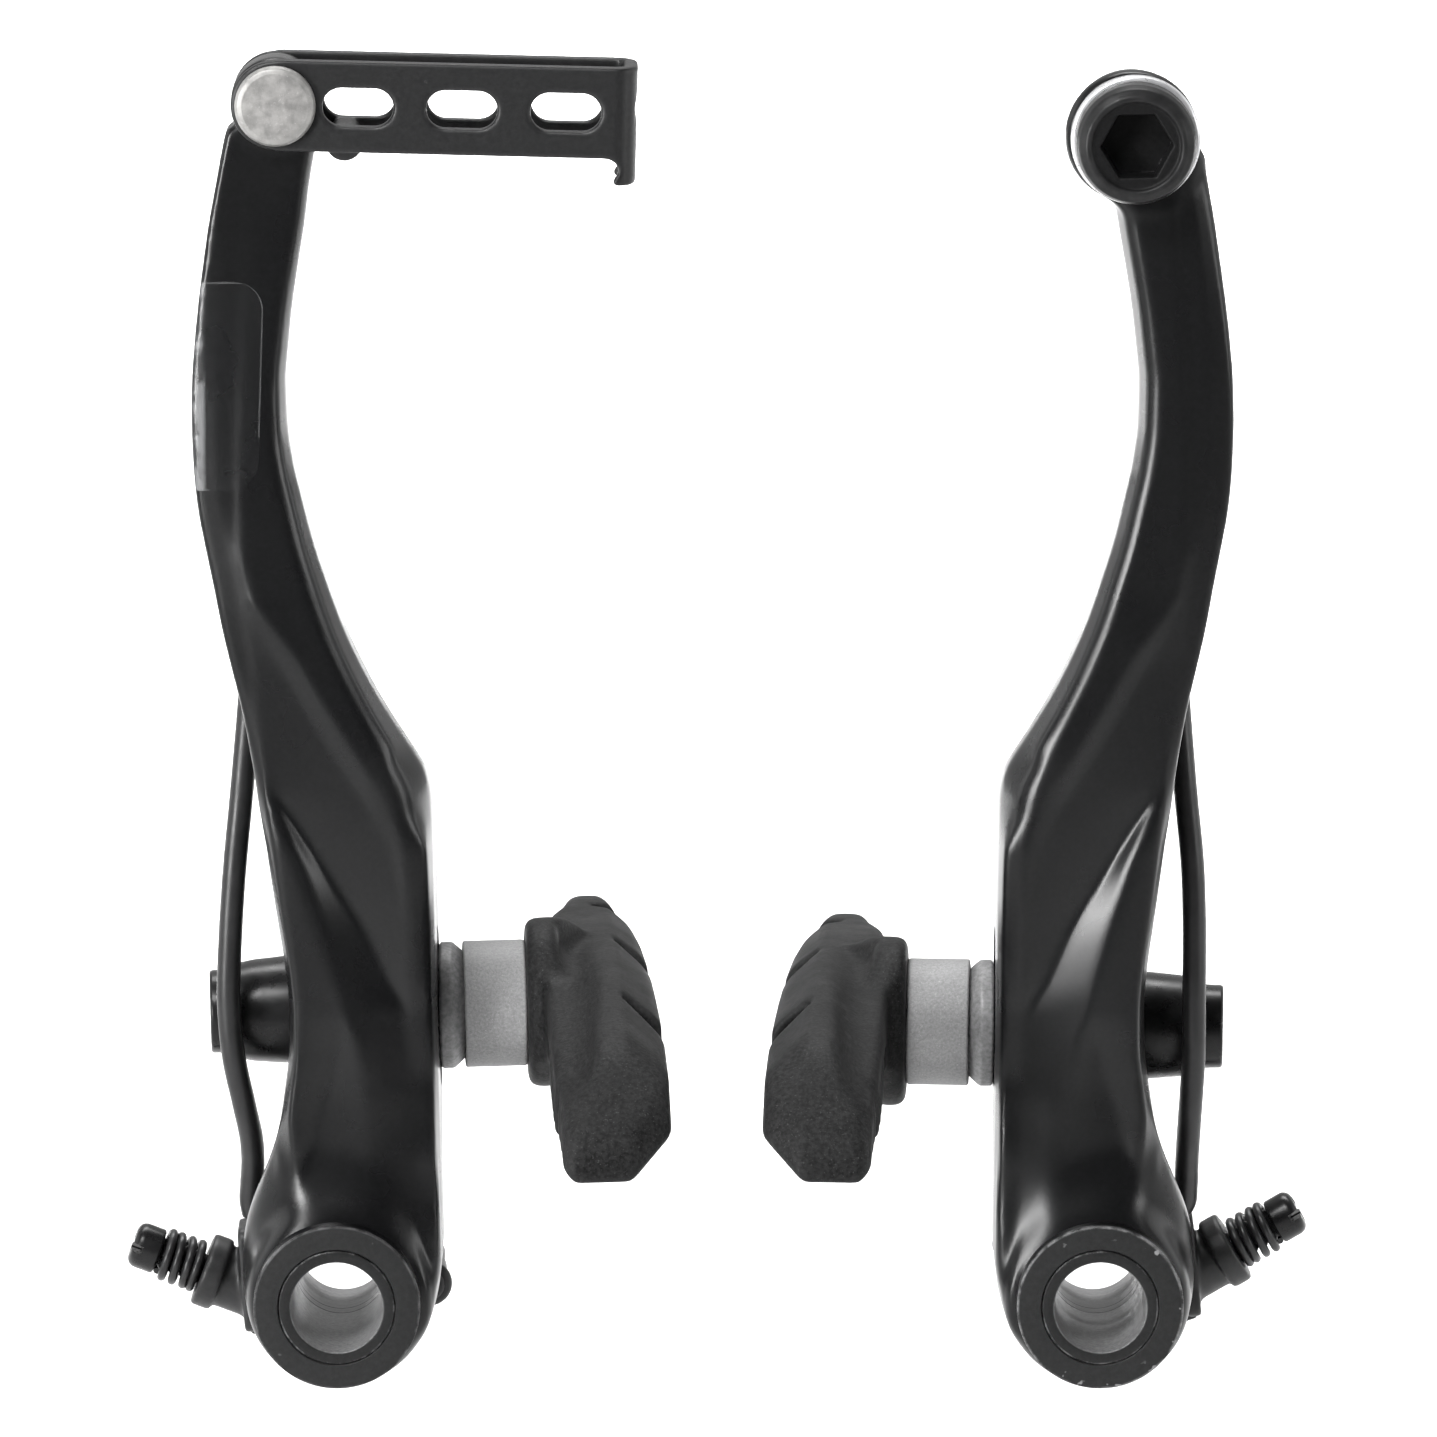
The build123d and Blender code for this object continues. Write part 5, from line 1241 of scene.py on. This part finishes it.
def bracket_material(side):
    """Black bracket steel, its bore worn light like the bush's."""
    cx = (-PIVOT_HALF if side == "left" else PIVOT_HALF) * MM
    m, nt, b = base_material(f"bracket_steel_{side}", (0.015, 0.015, 0.0155), 0.45, 0.2, 0.4)
    r, y, z = radius_from(nt, cx)
    inside = ramp(nt, r, (BORE_R + 0.10) * MM, (BORE_R + 0.03) * MM, 0, 1)
    grain = noise(nt, 2600, 4, 0.65)
    rings = noise(nt, 900, 3, 0.6, (0.05, 1.0, 0.05))
    out = mix_color(nt, ramp(nt, noise(nt, 420, 5, 0.6), 0.35, 0.65, 0, 1), (0.009, 0.009, 0.0095), (0.019, 0.019, 0.0195))
    wall = mix_color(nt, ramp(nt, math_node(nt, "MULTIPLY_ADD", grain, 0.6, math_node(nt, "MULTIPLY", rings, 0.4)), 0.38, 0.62, 0, 1), (0.15, 0.15, 0.152), (0.30, 0.30, 0.303))
    seam = math_node(nt, "MULTIPLY", inside, band(nt, y, -0.0077, -0.0074, 0.00005))
    wall = mix_color(nt, seam, wall, (0.03, 0.03, 0.0304))
    nt.links.new(mix_color(nt, inside, out, wall), b.inputs["Base Color"])
    nt.links.new(ramp(nt, grain, 0.3, 0.7, 0.38, 0.52), b.inputs["Roughness"])
    bump(nt, grain, 0.00004, 0.3, b)
    return m


def bolt_material():
    """Black bolt head: satin rim; the flat and socket inside the rim are painted darker, as painted shade in the
    recess.
    """
    bx, _, bz = (float(v) for v in clamp_place([[0, 0, 0]])[0])
    m, nt, b = base_material("bolt_black", (0.012, 0.012, 0.0124), 0.36, 0.0, 0.17)
    r, y, z = radius_from(nt, bx, bz)
    flat = ramp(nt, r, 4.02 * MM, 3.82 * MM, 0, 1)
    grain = noise(nt, 2600, 4, 0.65)
    rim = mix_color(nt, ramp(nt, noise(nt, 700, 5, 0.6), 0.35, 0.65, 0, 1), (0.014, 0.014, 0.0144), (0.022, 0.022, 0.0224))
    # painted shade: the recessed flat and hex socket are coloured darker than the rim
    recess_painted_shade = mix_color(nt, ramp(nt, grain, 0.35, 0.65, 0, 1), (0.0035, 0.0035, 0.0037), (0.0065, 0.0065, 0.0068))
    nt.links.new(mix_color(nt, flat, rim, recess_painted_shade), b.inputs["Base Color"])
    nt.links.new(blend_value(nt, flat, ramp(nt, grain, 0.3, 0.7, 0.32, 0.42), 0.52), b.inputs["Roughness"])
    bump(nt, grain, 0.00003, 0.2, b)
    return m


def film_material():
    """Thin clear film: mostly see-through and glossy, with bumps where it lifts; the milky patches on its outer bevel
    are painted reflection.
    """
    m = bpy.data.materials.new("clear_film")
    m.use_nodes = True
    nt = m.node_tree
    b = nt.nodes["Principled BSDF"]
    b.inputs["Base Color"].default_value = (0.62, 0.63, 0.64, 1)
    b.inputs["Roughness"].default_value = 0.16
    b.inputs["Specular IOR Level"].default_value = 0.5
    lift = noise(nt, 260, 4, 0.6)
    s = nt.nodes.new("ShaderNodeSeparateXYZ")
    nt.links.new(coords(nt), s.inputs["Vector"])
    outer = ramp(nt, s.outputs["X"], -0.0445, -0.0449, 0, 1)
    # painted reflection: light, more opaque patches on the outer bevel where the film would mirror the lamps
    reflection_patch = math_node(nt, "MULTIPLY", ramp(nt, lift, 0.47, 0.53, 0.02, 0.15), outer)
    nt.links.new(math_node(nt, "ADD", reflection_patch, 0.003), b.inputs["Alpha"])
    bump(nt, lift, 0.0003, 0.15, b)
    return m


PAINT_SPEC = 0.32
PAINT_ROUGH = (0.25, 0.32)
PAINT = {s: paint_material(s) for s in ("left", "right")}
BUSH = {s: bush_material(s) for s in ("left", "right")}
BORED = {s: bracket_material(s) for s in ("left", "right")}
BRACKET = finish_material("bracket_steel", (0.014, 0.014, 0.0148), (0.026, 0.026, 0.027), 0.40, 0.55, 0.2, 420, 2400, 0.00004, 0.3, spec=0.4)
WIRE = finish_material("spring_wire", (0.012, 0.012, 0.0125), (0.022, 0.022, 0.023), 0.30, 0.42, 0.3, 500, 2400, 0.00002, 0.2, spec=0.5)
SLEEVE = finish_material("sleeve_plastic", (0.0085, 0.0085, 0.009), (0.014, 0.014, 0.0146), 0.34, 0.46, 0.0, 420, 2600, 0.00003, 0.25, spec=0.45)
DOME = finish_material("dome_grey", (0.165, 0.165, 0.167), (0.26, 0.26, 0.262), 0.46, 0.58, 0.25, 2600, 3600, 0.00004, 0.35)
WASHER = blasted_material()
BLACK_STEEL = finish_material("black_steel", (0.0045, 0.0045, 0.0048), (0.009, 0.009, 0.0094), 0.24, 0.36, 0.0, 380, 900, 0.00006, 0.12, spec=0.27)
HEAD_STEEL = bolt_material()
RUBBER = rubber_material()
LINK = finish_material("link_steel", (0.0066, 0.0067, 0.0071), (0.0112, 0.0113, 0.0118), 0.38, 0.50, 0.0, 2400, 2600, 0.00004, 0.25, spec=0.42)
SILVER = pin_material()
CHROME = finish_material("bright_plate", (0.62, 0.62, 0.63), (0.74, 0.74, 0.75), 0.26, 0.36, 0.55, 500, 2600, 0.00001, 0.1)
FILM = film_material()
# the film's cut edges: a light, half-opaque band, painted sheen on a real edge
FILM_EDGE_SHEEN = finish_material("film_edge_sheen", (0.60, 0.61, 0.62), (0.66, 0.67, 0.68), 0.22, 0.30, 0.0, 500, 900, 0.00002, 0.1)
FILM_EDGE_SHEEN.node_tree.nodes["Principled BSDF"].inputs["Alpha"].default_value = 0.075


def dress(ob, mat):
    ob.data.materials.clear()
    ob.data.materials.append(mat)


KIND = {"arm": PAINT, "bush": BUSH, "collar": BORED, "holder": BORED, "stop": BRACKET, "screw": BLACK_STEEL, "coil": WIRE, "return_spring": WIRE, "spring_sleeve": SLEEVE,
        "hook": BRACKET, "pad": RUBBER, "inner_dome": DOME, "outer_dome": DOME, "inner_cup": WASHER, "outer_cup": WASHER, "nut": BLACK_STEEL}
for name, ob in PIECES.items():
    side, _, kind = name.partition("_")
    if side in ("left", "right") and kind in KIND:
        mat = KIND[kind]
        dress(ob, mat[side] if isinstance(mat, dict) else mat)
dress(PIECES["film"], FILM)
PIECES["film"].data.materials.append(FILM_EDGE_SHEEN)
for i in FILM_CUT:
    PIECES["film"].data.polygons[i].material_index = 1
dress(PIECES["link"], LINK)
dress(PIECES["pin"], SILVER)
dress(PIECES["clamp_washer"], CHROME)
dress(PIECES["bolt"], HEAD_STEEL)
BY_SLOT = {"arm_paint": PAINT["left"], "bush_steel": BUSH["left"], "bracket_steel": BRACKET, "spring_wire": WIRE, "sleeve_plastic": SLEEVE, "washer_grey": WASHER,
           "black_steel": BLACK_STEEL, "shoe_rubber": RUBBER, "link_steel": LINK, "pin_silver": SILVER, "bright_plate": CHROME}
for s in frame["record"]["subparts"]:
    if s["node"] in NODES:
        dress(NODES[s["node"]], BY_SLOT[s["material_slot"]])
        NODES[s["node"]].data.shade_smooth()
        NODES[s["node"]].data.set_sharp_from_angle(angle=math.radians(30))

# ------------------------------------------------------------------ floor and light
FLOOR_Z = -35.0 * MM
me = bpy.data.meshes.new("floor")
R = 6.0
me.from_pydata([(-R, -R, FLOOR_Z), (R, -R, FLOOR_Z), (R, R, FLOOR_Z), (-R, R, FLOOR_Z)], [], [(0, 1, 2, 3)])
floor = bpy.data.objects.new("floor", me)
bpy.context.scene.collection.objects.link(floor)
fm, fnt, fb = base_material("floor_white", (0.88, 0.88, 0.88), 0.9, spec=0.1)
dress(floor, fm)
floor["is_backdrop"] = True


def area(name, loc, target, size, radiance, size_y=None, spread=180.0):
    d = bpy.data.lights.new(name, "AREA")
    d.shape = "RECTANGLE"
    d.size, d.size_y = size, size_y or size
    d.energy = radiance * math.pi * d.size * d.size_y
    d.spread = math.radians(spread)
    o = bpy.data.objects.new(name, d)
    o.location = loc
    o.rotation_euler = (Vector(target) - Vector(loc)).to_track_quat("-Z", "Y").to_euler()
    bpy.context.scene.collection.objects.link(o)
    return o


C = (0, -0.012, 0.05)
area("back_top", (0.0, 0.92, 1.15), (0.0, 0.82, 0.0), 1.9, 4.6, 1.0, 66)
area("front_top", (-0.25, -0.47, 0.60), C, 0.34, 3.2, 0.20, 60)
area("key_left", (-0.45, -0.42, 0.10), (0.0, -0.02, 0.05), 0.17, 2.8, 0.22, 50)
area("key_right", (0.58, -0.31, 0.13), (0.0, -0.02, 0.05), 0.20, 0.8, 0.20, 60)
area("right", (0.75, 0.10, 0.28), C, 0.55, 1.8, 0.50)
area("left", (-0.75, 0.10, 0.28), C, 0.55, 1.8, 0.50)
w = bpy.data.worlds.new("world")
bpy.context.scene.world = w
w.use_nodes = True
wn = w.node_tree
bg = wn.nodes["Background"]
bg.inputs["Color"].default_value = (1, 1, 1, 1)
tc = wn.nodes.new("ShaderNodeTexCoord")
sx = wn.nodes.new("ShaderNodeSeparateXYZ")
wn.links.new(tc.outputs["Generated"], sx.inputs["Vector"])
wn.links.new(ramp(wn, sx.outputs["Y"], -0.25, 0.9, 0.03, 0.75), bg.inputs["Strength"])
bpy.context.scene.view_settings.view_transform = "Standard"

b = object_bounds()
